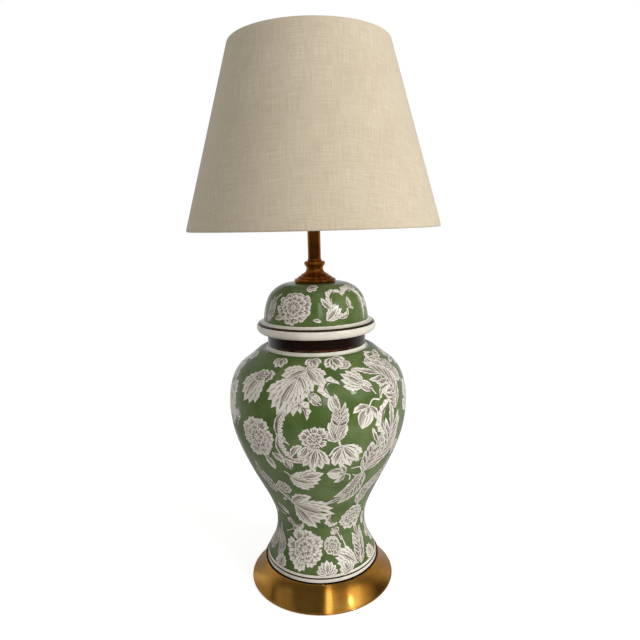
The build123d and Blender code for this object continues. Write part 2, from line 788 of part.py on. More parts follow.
def beside(points, gap):
    """The corners of a run of straight lines, moved to its left by a gap."""
    moved = []
    for i, point in enumerate(points):
        before = (point - points[i - 1]) if i > 0 else (points[1] - point)
        after = (points[i + 1] - point) if i < len(points) - 1 else before
        left = [Vector(-line.Y, line.X).normalized() for line in (before, after)]
        moved.append(point + (left[0] + left[1]) * (gap / (1 + left[0].dot(left[1]))))
    return moved


def bends(points, radii):
    """Radius of each corner of a run of lines, smaller where a short line leaves less room."""
    fitted = []
    for before, point, after, radius in zip(points, points[1:], points[2:], radii):
        turn = radians((point - before).get_angle(after - point))
        room = hem_fill * min((point - before).length, (after - point).length) / 2
        fitted.append(min(radius, room / tan(turn / 2)))
    return fitted


def make_hem(edge, inward):
    """Linen rolled round an edge wire and tucked against the inside of the liner."""
    half = hem_cloth / 2
    turn = half + hem_corner
    round_wire = ring_depth + ring_wire + wire_gap + half
    tucked = liner_depth + liner + skin_gap + half
    stations = [(half, hem_outside), (half, turn), (turn, half), (round_wire - hem_corner, half),
                (round_wire, turn), (round_wire, ring_rise + ring_wire), (tucked, hem_inside)]
    middle = [Vector(shade_radius(edge + inward * rise, depth), edge + inward * rise)
              for depth, rise in stations]
    near, far = beside(middle, -half * inward), beside(middle, half * inward)
    wire_side = FilletPolyline(*near, radius=bends(near, [hem_bend] * 4 + [hem_cloth]))
    outside = FilletPolyline(*far, radius=bends(far, [hem_bend + hem_cloth] * 4 + [hem_cloth]))
    return turned(wire_side, Line(wire_side @ 1, outside @ 1), outside,
                  Line(outside @ 0, wire_side @ 0))


def make_arms(wire):
    """The spider's wires, from the washer out and up to the top ring."""
    start = spider_washer_radius - 2 * spider_wire
    middle = spider_low + spider_washer / 2
    end = ring_x - ring_wire - seat_gap
    path = Plane.XZ * FilletPolyline(
        (start, middle), (spider_hub, middle), (end - spider_level, top_ring_z),
        (end, top_ring_z), radius=spider_bend)
    arm = sweep(Plane(origin=path @ 0, z_dir=path % 0) * Circle(wire), path=path)
    return [Rot(0, 0, 90 + 360 * i / spider_arms) * arm for i in range(spider_arms)]


def make_spider():
    """Washer on the stud and the wires that carry the top ring."""
    washer = ring(stud_radius + fit_gap, spider_washer_radius, spider_low,
                  spider_low + spider_washer)
    return washer + make_arms(spider_wire)


# ---------------------------------------------------------------- finial

def make_finial():
    """Turned brass finial: a foot, a cove, a ball and a small tip over a blind threaded hole."""
    foot_top = finial_low + finial_foot
    neck = finial_low + finial_neck
    ball = finial_low + finial_ball
    top = finial_low + finial_height
    drop = finial_ball_radius * cos(pi / 4)
    ball_line = ThreePointArc(
        (finial_neck_radius, neck + finial_collar), (finial_ball_radius, ball),
        (finial_tip_radius, ball + drop + finial_collar))
    foot_edge = (finial_foot_radius + finial_foot_roll, (finial_low + foot_top) / 2)
    bore = stud_radius + fit_gap
    bore_top = finial_low + finial_bore_depth
    return turned(
        Polyline((bore, finial_low), (finial_foot_radius, finial_low)),
        ThreePointArc((finial_foot_radius, finial_low), foot_edge, (finial_foot_radius, foot_top)),
        Polyline((finial_foot_radius, foot_top), (finial_neck_radius, neck), ball_line @ 0),
        ball_line,
        Polyline(ball_line @ 1, (finial_tip_radius, top - finial_point), (0, top), (0, bore_top),
                 (bore, bore_top), (bore, finial_low)))


# ---------------------------------------------------------------- all the pieces

skirt = make_skirt()
felt, plate = make_felt_and_plate()
block, terminal_flat = make_block()
globe, bulb_cap, insulator, tip = make_bulb()

pieces = {
    "plinth_skirt": skirt,
    "plinth_weight": make_weight(),
    "plinth_plate": plate,
    "plinth_felt": felt,
    "cord_grommet": make_grommet(skirt),
    "base_nut": make_nut(),
    "base_washer": ring(rod_hole, washer_radius, washer_low, weight_low),
    "centre_rod": ring(rod_bore, rod_radius, rod_low, rod_top),
    "foot_pad": ring(foot_pad_inner, mouth_inner - seat_gap, seat_top, jar_low),
    "jar_body": make_jar(),
    "lid_gasket": ring(collar_inner + gasket_edge, collar_radius - gasket_edge, collar_top,
                       lid_low),
    "jar_lid": make_lid(),
    "cap_gasket": ring(rod_hole, crown_radius - gasket_edge, crown_top, cap_low),
    "vase_cap": make_cap(),
    "neck_spool": make_spool(),
    "neck_tube": make_tube(),
    "check_ring": make_check_ring(),
    "harp_saddle": make_saddle(),
    "holder_cup": make_holder_cup(),
    "holder_set_screw": make_set_screw(),
    "holder_shell": make_holder_shell(),
    "holder_liner": make_liner_tube(),
    "switch_block": block,
    "terminal_screws": make_terminals(terminal_flat),
    "screw_shell": make_screw_shell(),
    "centre_contact": make_contact(),
    "switch_stem": make_stem(),
    "switch_key": make_key(),
    "bulb_globe": globe,
    "bulb_cap": bulb_cap,
    "bulb_insulator": insulator,
    "bulb_tip": tip,
    "harp": make_harp(),
    "harp_stud": make_stud(),
    "harp_sleeve_left": make_sleeve(-1),
    "harp_sleeve_right": make_sleeve(1),
    "shade_linen": cone(0, linen, shade_low + linen_edge, shade_top - linen_edge),
    "shade_liner": cone(liner_depth, liner, shade_low + liner_edge, shade_top - liner_edge),
    "shade_ring_top": make_ring_wire(top_ring_z),
    "shade_ring_bottom": make_ring_wire(bottom_ring_z),
    "shade_hem_top": make_hem(shade_top, -1) - make_arms(spider_wire + seat_gap),
    "shade_hem_bottom": make_hem(shade_low, 1),
    "shade_spider": make_spider(),
    "finial": make_finial(),
}

for name, piece in pieces.items():
    export_step(piece, f"parts/{name}.step")

print("pieces", len(pieces))
print("shade low %.1f top %.1f, finial top %.1f" % (shade_low, shade_top, finial_low + finial_height))
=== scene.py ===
import random
from bisect import bisect
from math import atan2, cos, hypot, pi, radians, sin

import bpy
import numpy as np
from mathutils import Matrix, Vector
from mathutils.geometry import delaunay_2d_cdt


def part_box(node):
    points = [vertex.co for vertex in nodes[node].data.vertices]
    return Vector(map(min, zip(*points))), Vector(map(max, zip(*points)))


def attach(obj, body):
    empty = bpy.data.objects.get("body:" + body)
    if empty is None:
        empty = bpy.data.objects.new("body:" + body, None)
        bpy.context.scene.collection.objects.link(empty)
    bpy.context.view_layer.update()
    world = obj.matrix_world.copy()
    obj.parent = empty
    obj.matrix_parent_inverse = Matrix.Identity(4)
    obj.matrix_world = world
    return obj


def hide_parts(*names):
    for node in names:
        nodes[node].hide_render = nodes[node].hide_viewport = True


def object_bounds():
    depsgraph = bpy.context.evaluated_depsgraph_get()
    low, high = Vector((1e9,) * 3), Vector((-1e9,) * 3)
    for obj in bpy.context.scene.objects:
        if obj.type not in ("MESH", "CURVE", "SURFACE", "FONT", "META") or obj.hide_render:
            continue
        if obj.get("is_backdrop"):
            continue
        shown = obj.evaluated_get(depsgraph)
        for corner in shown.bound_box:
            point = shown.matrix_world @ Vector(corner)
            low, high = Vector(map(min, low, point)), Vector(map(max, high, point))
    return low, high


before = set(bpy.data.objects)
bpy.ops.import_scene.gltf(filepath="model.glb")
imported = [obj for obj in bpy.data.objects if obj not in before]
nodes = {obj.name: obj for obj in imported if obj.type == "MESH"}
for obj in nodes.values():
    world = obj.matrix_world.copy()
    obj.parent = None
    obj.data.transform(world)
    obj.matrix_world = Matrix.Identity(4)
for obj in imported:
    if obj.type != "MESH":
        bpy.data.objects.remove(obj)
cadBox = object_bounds()
mm = 0.001
print("frame loaded:", len(nodes), "nodes")


# materials: shared helpers

def tint(red, green, blue):
    # a screen colour, 0 to 255, as the linear colour that a shader takes
    parts = [c / 255 for c in (red, green, blue)]
    return tuple(c / 12.92 if c <= 0.04045 else ((c + 0.055) / 1.055) ** 2.4 for c in parts) + (1,)


def newMaterial(name, **finish):
    material = bpy.data.materials.new(name)
    material.use_nodes = True
    shader = material.node_tree.nodes["Principled BSDF"]
    for socket, value in finish.items():
        shader.inputs[socket.replace("_", " ")].default_value = value
    return material, material.node_tree, shader


def addNode(tree, kind, inputs=None, **settings):
    node = tree.nodes.new("ShaderNode" + kind)
    for key, value in settings.items():
        setattr(node, key, value)
    for key, value in (inputs or {}).items():
        if isinstance(value, bpy.types.NodeSocket):
            tree.links.new(value, node.inputs[key])
        else:
            node.inputs[key].default_value = value
    return node


def objectPlace(tree, stretch=(1, 1, 1)):
    place = addNode(tree, "TexCoord").outputs["Object"]
    return addNode(tree, "Mapping", {"Vector": place, "Scale": stretch}).outputs[0]


def noise(tree, place, scale, detail=3.0, rough=0.55):
    return addNode(tree, "TexNoise", {"Vector": place, "Scale": scale, "Detail": detail,
                                      "Roughness": rough}).outputs["Fac"]


def ramp(tree, fac, low, high, bottom=0.0, top=1.0):
    # a soft step: bottom under low, top over high
    return addNode(tree, "MapRange", {"Value": fac, "From Min": low, "From Max": high,
                                      "To Min": bottom, "To Max": top},
                   interpolation_type="SMOOTHSTEP").outputs[0]


def mixColour(tree, fac, first, second):
    return addNode(tree, "Mix", {0: fac, 6: first, 7: second}, data_type="RGBA").outputs[2]


def sums(tree, first, second, operation="ADD"):
    return addNode(tree, "Math", {0: first, 1: second}, operation=operation).outputs[0]


def bump(tree, shader, height, distance, strength=1.0):
    node = addNode(tree, "Bump", {"Height": height, "Distance": distance, "Strength": strength})
    tree.links.new(node.outputs[0], shader.inputs["Normal"])


def dress(names, material):
    for name in names.split():
        nodes[name].data.materials.clear()
        nodes[name].data.materials.append(material)


# glazed porcelain; all colours here are from 0 to 255

glazeLook = {"gloss": 0.07, "ripple": 0.03 * mm, "rippleScale": 160, "speckle": 900}

# name, light and dark tone, closeness of the clouds and strength of the flecks
glazeTones = {
    "green": ("glazeGreen", (98, 116, 64), (76, 98, 46), 26, 0.4),
    "cream": ("glazeCream", (228, 224, 210), (216, 210, 194), 30, 0.08),
    "brown": ("glazeBrown", (26, 12, 6), (26, 12, 6), 60, 0.4),
    # painted shadow: a near-black tone standing for the shade in the gap where the jar's foot sits in the
    # plinth
    "shadow": ("footShadowPaint", (12, 9, 7), (12, 9, 7), 60, 0.4),
    "amber": ("glazeAmber", (84, 54, 22), (26, 12, 6), 90, 0.4),
    "gold": ("glazeGoldLine", (112, 82, 44), (26, 12, 6), 120, 0.2),
    "dark": ("glazeDarkLine", (58, 38, 22), (26, 12, 6), 120, 0.2),
    "pale": ("printPale", (236, 230, 218), (220, 213, 200), 70, 0.15),
    "wash": ("printWash", (190, 178, 166), (162, 148, 138), 110, 0.4),
    "line": ("printLine", (96, 76, 66), (66, 48, 42), 140, 0.2),
}


def glazeMaterial(name, light, dark, mottle, fleck):
    # one colour of print or ground under the same clear, slightly rippled gloss
    material, tree, shader = newMaterial(name, Roughness=glazeLook["gloss"], IOR=1.5)
    place = objectPlace(tree)
    cloud = ramp(tree, noise(tree, place, mottle, 4, 0.6), 0.35, 0.65)
    body = mixColour(tree, cloud, tint(*light), tint(*dark))
    grain = ramp(tree, noise(tree, place, glazeLook["speckle"], 2, 0.7), 0.55, 0.75, 0, fleck)
    body = mixColour(tree, grain, body, tint(*[c * 0.72 for c in dark]))
    tree.links.new(body, shader.inputs["Base Color"])
    bump(tree, shader, noise(tree, place, glazeLook["rippleScale"], 2), glazeLook["ripple"])
    return material


glaze = {key: glazeMaterial(*look) for key, look in glazeTones.items()}


# turned porcelain: the CAD solid's own outline carries the coloured glaze

jarLook = {
    "sides": 288,               # facets round the jar and the lid
    "coat": 0.15 * mm,          # glaze over the body
    "print": 0.28 * mm,         # print over the body
    "printStep": 0.025 * mm,    # between neighbouring motifs
    "grid": 5.0,                # mm between points inside a motif
}


class TurnedFace:
    # the outside of a turned node, measured along its outline from the lowest point
    def __init__(self, node, start, end):
        # start and end: (radius, height) in mm; the outline is walked upward from one to the other
        mesh = nodes[node].data
        corners = [v.co for v in mesh.vertices]
        onSeam = {i: (round(p.x, 6), round(p.z, 6)) for i, p in enumerate(corners)
                  if abs(p.y) < 1e-6 and p.x > 0}
        links = {}
        for face in mesh.polygons:
            loop = list(face.vertices)
            for first, second in zip(loop, loop[1:] + loop[:1]):
                if first in onSeam and second in onSeam and onSeam[first] != onSeam[second]:
                    links.setdefault(onSeam[first], set()).add(onSeam[second])
                    links.setdefault(onSeam[second], set()).add(onSeam[first])

        def nearest(spot, choices):
            return min(choices, key=lambda c: hypot(c[0] - spot[0] * mm, c[1] - spot[1] * mm))

        chain = [nearest(start, links)]
        last = nearest(end, links)
        chain.append(max(links[chain[0]], key=lambda c: c[1]))
        while chain[-1] != last:
            ahead = [c for c in links[chain[-1]] if c not in chain[-3:]]
            if not ahead:
                break
            chain.append(max(ahead, key=lambda c: c[0]))
        self.points = [Vector(c) for c in chain]
        self.runs = [0.0]
        for first, second in zip(self.points, self.points[1:]):
            self.runs.append(self.runs[-1] + (second - first).length)
        slopes = [(second - first).normalized() for first, second in zip(self.points, self.points[1:])]
        slopes = [slopes[0]] + [(a + b).normalized() for a, b in zip(slopes, slopes[1:])] + [slopes[-1]]
        self.normals = [Vector((slope.y, -slope.x)) for slope in slopes]

    def at(self, run, lift=0.0):
        # radius, height and outward normal at a distance along the outline
        k = max(1, min(bisect(self.runs, run), len(self.runs) - 1))
        part = (run - self.runs[k - 1]) / (self.runs[k] - self.runs[k - 1])
        normal = self.normals[k - 1].lerp(self.normals[k], part).normalized()
        place = self.points[k - 1].lerp(self.points[k], part) + normal * lift
        return place.x, place.y, normal

    def runAt(self, height, radius=None):
        # where the outline last passes a height in mm, or is nearest to a radius and height
        if radius is not None:
            spot = Vector((radius, height)) * mm
            return min(zip(self.points, self.runs), key=lambda pair: (pair[0] - spot).length)[1]
        for k in range(len(self.points) - 1, 0, -1):
            low, high = self.points[k - 1].y, self.points[k].y
            if low <= height * mm <= high and high > low:
                step = self.runs[k] - self.runs[k - 1]
                return self.runs[k - 1] + step * (height * mm - low) / (high - low)
        return 0.0

    def spot(self, angle, run, lift):
        radius, height, normal = self.at(run, lift)
        place = Vector((radius * sin(angle), -radius * cos(angle), height))
        return place, Vector((normal.x * sin(angle), -normal.x * cos(angle), normal.y))


def makeMesh(name, places, faces, normals=None, slots=None, materials=()):
    mesh = bpy.data.meshes.new(name)
    mesh.from_pydata(places, [], faces)
    for material in materials:
        mesh.materials.append(material)
    if slots:
        mesh.polygons.foreach_set("material_index", slots)
    mesh.polygons.foreach_set("use_smooth", [True] * len(faces))
    mesh.update()
    if normals:
        mesh.normals_split_custom_set_from_vertices(normals)
    piece = bpy.data.objects.new(name, mesh)
    bpy.context.scene.collection.objects.link(piece)
    return piece


def glazeCoat(name, face, bands):
    # bands: (lowest height in mm, colour and, where the outline dips, radius), from the bottom up
    starts = [face.runAt(height, *radius) for height, colour, *radius in bands]
    rings = sorted(set(face.runs + starts))
    rings = [rings[0]] + [b for a, b in zip(rings, rings[1:]) if b - a > 0.01 * mm]
    colours = list(dict.fromkeys(band[1] for band in bands))
    sides = jarLook["sides"]
    places, normals, faces, slots = [], [], [], []
    for run in rings:
        for k in range(sides):
            place, normal = face.spot(2 * pi * k / sides, run, jarLook["coat"])
            places.append(place)
            normals.append(normal)
    for i in range(len(rings) - 1):
        middle = (rings[i] + rings[i + 1]) / 2
        band = max(0, bisect(starts, middle) - 1)
        for k in range(sides):
            after = (k + 1) % sides
            faces.append((i * sides + k, i * sides + after, (i + 1) * sides + after, (i + 1) * sides + k))
            slots.append(colours.index(bands[band][1]))
    piece = makeMesh(name, places, faces, normals, slots, [glaze[c] for c in colours])
    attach(piece, "lamp")


# from foot to lip, and from rim to crown
jarFace = TurnedFace("jar_body", (95.6, 33.6), (80, 435))
lidFace = TurnedFace("jar_lid", (93, 436.8), (33, 514.8))
# the lowest band on the jar is painted shadow: the foot is coloured near-black for the shade in the
# plinth's seat
glazeCoat("jar_glaze", jarFace, [
    (33.6, "shadow"), (38.9, "cream"), (44.0, "dark"), (46.3, "cream"), (49.8, "gold"), (50.8, "green"),
    (409.8, "dark", 85.6), (409.4, "cream", 84.2), (414.4, "amber"), (418.2, "brown")])
glazeCoat("lid_glaze", lidFace, [
    (436.9, "cream"), (449.5, "dark"), (452.4, "cream"), (455.9, "gold"), (456.7, "green")])
dress("jar_body jar_lid", glaze["cream"])
print("glaze coats made:", len(jarFace.points), len(lidFace.points))


# the print: flowers and leaves drawn in mm, then laid on the turned faces

printLook = {
    "edge": 0.42,       # dark edge round the lobes of a leaf
    "petalEdge": 0.5,   # dark edge round petals
    "vein": 0.95,       # widest part of a line in a petal or lobe
    "peony": 31,        # radius of the large flowers on the jar
    "aster": 31,        # radius of the large flower on the lid
    "seed": 11,
}
rnd = random.Random(printLook["seed"])


def smoothLine(points, steps):
    # an open curve through the given points
    points = [Vector(p) for p in points]
    ends = [points[0] * 2 - points[1]] + points + [points[-1] * 2 - points[-2]]
    out = []
    for a, b, c, d in zip(ends, ends[1:], ends[2:], ends[3:]):
        for k in range(steps):
            t = k / steps
            out.append(0.5 * (2 * b + (c - a) * t + (2 * a - 5 * b + 4 * c - d) * t * t
                              + (3 * b - a - 3 * c + d) * t ** 3))
    return out + [points[-1]]


def follow(points):
    # gives the place at a share of a run of points, moved to its left
    runs = [0.0]
    for first, second in zip(points, points[1:]):
        runs.append(runs[-1] + (second - first).length)

    def at(share, side=0.0):
        wanted = share * runs[-1]
        k = max(1, min(bisect(runs, wanted), len(points) - 1))
        first, second = points[k - 1], points[k]
        along = (second - first).normalized()
        return (first + along * (wanted - runs[k - 1])) + Vector((-along.y, along.x)) * side

    return at


def grown(points, gap):
    # a closed outline, moved outward
    turnSum = sum(a.x * b.y - b.x * a.y for a, b in zip(points, points[1:] + points[:1]))
    side = gap if turnSum > 0 else -gap
    out = []
    for before, here, after in zip(points[-1:] + points[:-1], points, points[1:] + points[:1]):
        first, second = (here - before).normalized(), (after - here).normalized()
        normal = Vector((first.y + second.y, -first.x - second.x))
        out.append(here + normal.normalized() * side if normal.length > 0.2 else here + first * gap)
    return out


def stroke(art, line, thick, thin, tone, steps=6):
    # a line that tapers from thick to thin
    at = follow(line)
    shares = [k / steps for k in range(steps + 1)]
    left = [at(s, (thick + (thin - thick) * s) / 2) for s in shares]
    right = [at(s, -(thick + (thin - thick) * s) / 2) for s in reversed(shares)]
    art.append((left + right, tone))


def swell(share, belly=0.85):
    # width of a leaf along its length, widest a little before the middle
    return sin(pi * min(1, max(0, share)) ** belly) ** 0.8


def crease(art, line, thick, tone="line"):
    # a line that is pointed at both ends
    left, right = [], []
    for before, here, after in zip(line, line[1:], line[2:]):
        across = Vector((before.y - after.y, after.x - before.x)).normalized() * thick / 2
        left.append(here + across)
        right.append(here - across)
    art.append(([line[0]] + left + [line[-1]] + right[::-1], tone))


def lobe(art, start, tip, width, sway, teeth, shade=1):
    # one pointed lobe of a leaf, with lines that run along it and a shaded side
    start, tip = Vector(start), Vector(tip)
    across = Vector((start.y - tip.y, tip.x - start.x)).normalized()
    at = follow(smoothLine([start, (start + tip) / 2 + across * sway, tip], 2))
    sides = []
    for side in (1, -1):
        edge = [at(0, side * width * 0.3)]
        for k in range(teeth):
            valley = 0.26 + 0.56 * k / teeth
            edge.append(at(valley, side * width * 0.86 * swell(valley)))
            edge.append(at(valley + 0.44 / teeth, side * width * 1.12 * swell(valley + 0.1)))
        sides.append(edge)
    outline = sides[0] + [at(1.0)] + sides[1][::-1]
    art.append((grown(outline, printLook["edge"]), "line"))
    art.append((outline, "pale"))
    crease(art, [at(0), at(0.3, shade * width * 0.34), at(0.55, shade * width * 0.36), at(0.86)],
           width * 0.46, "wash")
    count = 3 if width > 3.2 else 2
    for k in range(count):
        side = width * 1.15 * ((k + 0.5) / count - 0.5)
        reach = 0.86 - 0.12 * abs(k - (count - 1) / 2) - 0.1 * (k % 2 == 0)
        crease(art, [at(0.02, side * 0.2), at(0.26, side * 0.9), at(0.52, side), at(reach, side * 0.75)],
               printLook["vein"] * (1 if width > 3.2 else 0.8))


def rib(art, line, thick, thin):
    # a pale stem or midrib between dark lines
    stroke(art, line, thick + 1.1, thin + 0.6, "line", 8)
    stroke(art, line, thick, thin, "pale", 8)


def acanthus(art, spine, width, pairs, stalk, lean):
    # a feathered leaf: pairs of lobes that sweep forward from a bent rib, and one at the tip
    at = follow(smoothLine(spine, 4))
    for k in range(pairs):
        share = 0.66 * k / pairs
        reach = width * (0.5 + 0.5 * swell(0.14 + 0.8 * k / pairs))
        for side in (1, -1):
            wobble = 1 + 0.1 * rnd.uniform(-1, 1)
            tip = at(share + lean * (1 - 0.25 * k / pairs), side * reach * wobble)
            lobe(art, at(share), tip, reach * 0.27, side * reach * 0.2, 3, side)
    lobe(art, at(0.62), at(1.04), width * 0.26, 0, 3)
    rib(art, [at(k / 8 * 0.8) for k in range(9)], stalk, 0.5)


def petal(art, angle, inner, outer, spread, ruffle, lines):
    # one petal of a flower, with a ruffled end and dark lines out of its base
    def polar(radius, turn):
        return Vector((cos(angle + turn), sin(angle + turn))) * radius

    half, length = spread / 2, outer - inner
    edge = [polar(inner, -half * 0.5), polar(inner + length * 0.5, -half * 0.98)]
    count = ruffle * 2 + 1
    for k in range(count):
        turn = half * (-0.85 + 1.7 * k / (count - 1))
        dome = 1 - 0.14 * (turn / half) ** 2
        edge.append(polar((outer if k % 2 == 0 else outer - length * 0.14) * dome, turn))
    edge += [polar(inner + length * 0.5, half * 0.98), polar(inner, half * 0.5)]
    art.append((grown(edge, printLook["petalEdge"]), "line"))
    art.append((edge, "pale"))
    crease(art, [polar(inner, 0), polar(inner + length * 0.3, 0), polar(inner + length * 0.78, 0)],
           inner * half * 1.1 + length * 0.16, "wash")
    for k in range(lines):
        turn = half * 1.35 * ((k + 0.5) / lines - 0.5)
        far = inner + length * (0.78 - 0.2 * (k % 2))
        crease(art, [polar(inner, turn * 0.7), polar((inner + far) / 2, turn * 0.95), polar(far, turn)],
               printLook["vein"] * min(1.15, 0.5 + length / 18))


def blossom(art, centre, rings, squash, turn, heart):
    # rings: (petals, inner radius, outer radius, ruffles), drawn from the outside in
    centre = Vector(centre)
    flower = []
    for number, (count, inner, outer, ruffle) in enumerate(rings):
        for k in range(count):
            angle = 2 * pi * (k + 0.5 * (number % 2) + rnd.uniform(-0.2, 0.2)) / count
            size = outer * rnd.uniform(0.86, 1.1)
            lines = 3 if outer - inner > 5 else 2
            petal(flower, angle, inner, size, 2.35 * pi / count, ruffle, lines)
    for k in range(7):
        angle = 2 * pi * k / 6
        spot = Vector((cos(angle), sin(angle))) * (heart * 0.68 if k else 0)
        ball(flower, spot, heart * 0.4)
    for points, tone in flower:
        art.append(([centre + turned(Vector((p.x, p.y * squash)), turn) for p in points], tone))


def turned(point, angle):
    x, y = point
    return Vector((x * cos(angle) - y * sin(angle), x * sin(angle) + y * cos(angle)))


def ball(art, centre, radius, sides=7):
    # a small round bead, seven-sided unless told otherwise
    turns = [2 * pi * k / sides for k in range(sides)]
    ring = [centre + Vector((cos(a), sin(a))) * radius for a in turns]
    art.append((grown(ring, printLook["petalEdge"]), "line"))
    art.append((ring, "pale"))


def bud(art, base, tip, width, sepals=2, mouth=True):
    # a round bud in its sepals, with long curved shading
    at = follow([Vector(base), Vector(tip)])
    shares = [k / 6 for k in range(7)]
    left = [at(s, width / 2 * swell(s, 0.9)) for s in shares]
    right = [at(s, -width / 2 * swell(s, 0.9)) for s in shares[::-1]]
    outline = left + right[1:-1]
    art.append((grown(outline, printLook["edge"]), "line"))
    art.append((outline, "pale"))
    shadow = [(0.1, 0.1), (0.35, 0.26), (0.65, 0.26), (0.92, 0.1)]
    crease(art, [at(s, -width * side) for s, side in shadow], width * 0.26, "wash")
    for k in range(4):
        side = width * 0.8 * ((k + 0.5) / 4 - 0.5)
        line = [at(s, side * swell(s, 0.9)) for s in (0.12, 0.38, 0.62, 0.88)]
        crease(art, line, printLook["vein"] * 0.75)
    if mouth:
        turns = [2 * pi * k / 7 for k in range(7)]
        ring = [at(0.82 + 0.1 * cos(a), width * 0.24 * sin(a)) for a in turns]
        art.append((ring, "line"))
        ball(art, at(0.82), width * 0.1, 5)
    for k in range(sepals):
        side = (k - (sepals - 1) / 2) * width * 0.8
        lobe(art, at(-0.04), at(0.46, side), width * 0.17, side * 0.2, 2)


def curl(art, spine, width, cuts):
    # a rolled leaf: a crescent with a scalloped back, a dark hollow and stripes across
    at = follow(smoothLine(spine, 4))
    outer, inner = [], []
    for k in range(cuts):
        share = k / cuts
        outer.append(at(share + 0.02, width * 0.62 * swell(share + 0.06)))
        outer.append(at(share + 0.55 / cuts, width * 0.88 * swell(share + 0.1)))
    for k in range(7):
        share = 1 - k / 6
        inner.append(at(share, -width * 0.26 * swell(share)))
    outline = [at(0)] + outer + [at(1.02)] + inner[1:-1]
    art.append((grown(outline, printLook["edge"]), "line"))
    art.append((outline, "pale"))
    crease(art, [at(0.06), at(0.3, width * 0.02), at(0.6, width * 0.02), at(0.96)], width * 0.3, "wash")
    hollow = [at(0.04), at(0.3, -width * 0.04), at(0.6, -width * 0.04), at(0.94)]
    crease(art, hollow, width * 0.09 + 0.5)
    stripes = int(cuts * 1.4)
    for k in range(stripes):
        share = 0.06 + 0.84 * (k + 0.5) / stripes
        reach = width * 0.7 * swell(share + 0.06)
        crease(art, [at(share - 0.03, width * 0.02), at(share, reach * 0.55), at(share + 0.05, reach)],
               printLook["vein"] * 0.8)


def fan(art, base, tip, spread, count, fat):
    # fingers opening from one point, the middle one drawn last
    base = Vector(base)
    axis = Vector(tip) - base
    middle = (count - 1) / 2
    for k in sorted(range(count), key=lambda k: -abs(k - middle)):
        share = (k - middle) / max(1, middle)
        finger = turned(axis, share * spread / 2) * (1 - 0.16 * abs(share))
        lobe(art, base, base + finger, axis.length * fat, 0, 3, 1 if share < 0 else -1)


def stem(art, spine, thick, thin):
    rib(art, smoothLine(spine, 3), thick, thin)


# what the print is made of; each drawing is in mm, centred on its own place

def drawBigSpray(art):
    fan(art, (12, 32), (36, 4), 1.0, 5, 0.17)
    fan(art, (14, 30), (-20, 12), 0.8, 4, 0.2)
    fan(art, (6, 20), (18, -16), 0.9, 4, 0.2)
    fan(art, (4, 14), (-20, -36), 1.3, 7, 0.15)
    rib(art, smoothLine([(14, 36), (6, 18), (-4, -4)], 4), 2.0, 0.8)


def drawTwist(art):
    curl(art, [(4, 40), (-9, 22), (-8, 4), (8, -10)], 13, 8)
    lobe(art, (8, -28), (26, -10), 5, 4, 3)
    lobe(art, (14, -32), (38, -24), 5, -3, 3)
    curl(art, [(-6, 8), (-10, -14), (4, -34), (24, -38)], 14, 8)


def drawSideFlower(art):
    fan(art, (10, 20), (-12, -22), 1.0, 5, 0.17)
    blossom(art, (6, 16), [(8, 4, 13, 2), (5, 2, 7, 1)], 0.8, 0.5, 2)
    curl(art, [(14, 26), (20, 18), (18, 8)], 7, 4)


def drawPeony(art):
    r = printLook["peony"]
    blossom(art, (0, 0), [(8, r * 0.42, r, 3), (7, r * 0.28, r * 0.74, 2), (6, r * 0.14, r * 0.48, 2)],
            0.94, 0.3, r * 0.17)
    lobe(art, (22, -20), (38, -34), 6, 2, 3)


def drawBud(art):
    stem(art, [(-13, 12), (-9, 8), (-5, 3)], 1.6, 1.4)
    bud(art, (-6, 4), (8, -8), 13)


def drawCurl(art):
    curl(art, [(-8, 4), (-2, 8), (6, 4), (8, -8)], 9, 5)


def drawPalm(art):
    stem(art, [(8, -52), (4, -36), (-2, -20)], 3.4, 2.4)
    fan(art, (0, -34), (-4, -2), 1.5, 4, 0.17)
    acanthus(art, [(-2, -22), (4, -6), (6, 12), (0, 30)], 12, 6, 1.8, 0.24)
    bud(art, (2, 6), (-7, 30), 17, 1, False)
    curl(art, [(-6, 28), (-14, 40), (-4, 50), (8, 44)], 12, 5)


def drawFlowerHead(art):
    blossom(art, (0, 12), [(9, 7, 17, 2), (6, 3, 10, 1)], 0.9, 0.2, 3)
    fan(art, (2, 0), (-4, -32), 1.5, 5, 0.17)
    lobe(art, (-8, 2), (-20, -12), 6, 2, 3)


def drawLeafPair(art):
    fan(art, (-8, 14), (10, -16), 1.1, 4, 0.2)
    lobe(art, (-10, 12), (-16, -14), 6, -3, 3)
    stem(art, [(-24, 2), (-18, 12), (-8, 15)], 2.4, 1.6)


def drawBudLeaf(art):
    fan(art, (10, -6), (-16, 16), 1.2, 5, 0.17)
    bud(art, (4, 0), (24, -14), 15, 1)
    stem(art, [(22, -14), (27, -20)], 1.8, 1.2)


def drawPomegranate(art):
    bud(art, (6, 12), (-6, -16), 26, 3, False)
    stem(art, [(6, 12), (14, 21), (26, 18)], 2.0, 2.4)


def drawGreatLeaf(art):
    acanthus(art, [(-22, -52), (2, -28), (16, 4), (14, 44)], 21, 7, 3.0, 0.34)
    acanthus(art, [(-24, -50), (-20, -24), (-10, -4), (-22, 14)], 13, 5, 2.0, 0.3)
    curl(art, [(2, 0), (-8, 22), (2, 42), (16, 48)], 13, 7)
    stem(art, [(-22, -52), (-32, -58), (-40, -54)], 2.4, 1.4)


def drawTopSpray(art):
    acanthus(art, [(-8, 28), (14, 24), (38, 4)], 14, 5, 1.8, 0.34)
    acanthus(art, [(18, -46), (20, -18), (2, 8), (-30, 24)], 20, 7, 2.4, 0.34)
    curl(art, [(14, -12), (-6, -12), (-14, -26)], 11, 5)
    blossom(art, (-40, 34), [(7, 4, 12, 2), (5, 2, 7, 1)], 0.7, 0.3, 2)


def drawHanging(art):
    fan(art, (0, 8), (2, -6), 1.9, 4, 0.28)


def drawStarLeaf(art):
    fan(art, (-26, 4), (14, -6), 1.0, 5, 0.2)
    fan(art, (-10, 6), (22, 14), 0.8, 3, 0.2)
    stem(art, [(-34, 14), (-28, 10), (-24, 4)], 2.0, 1.4)


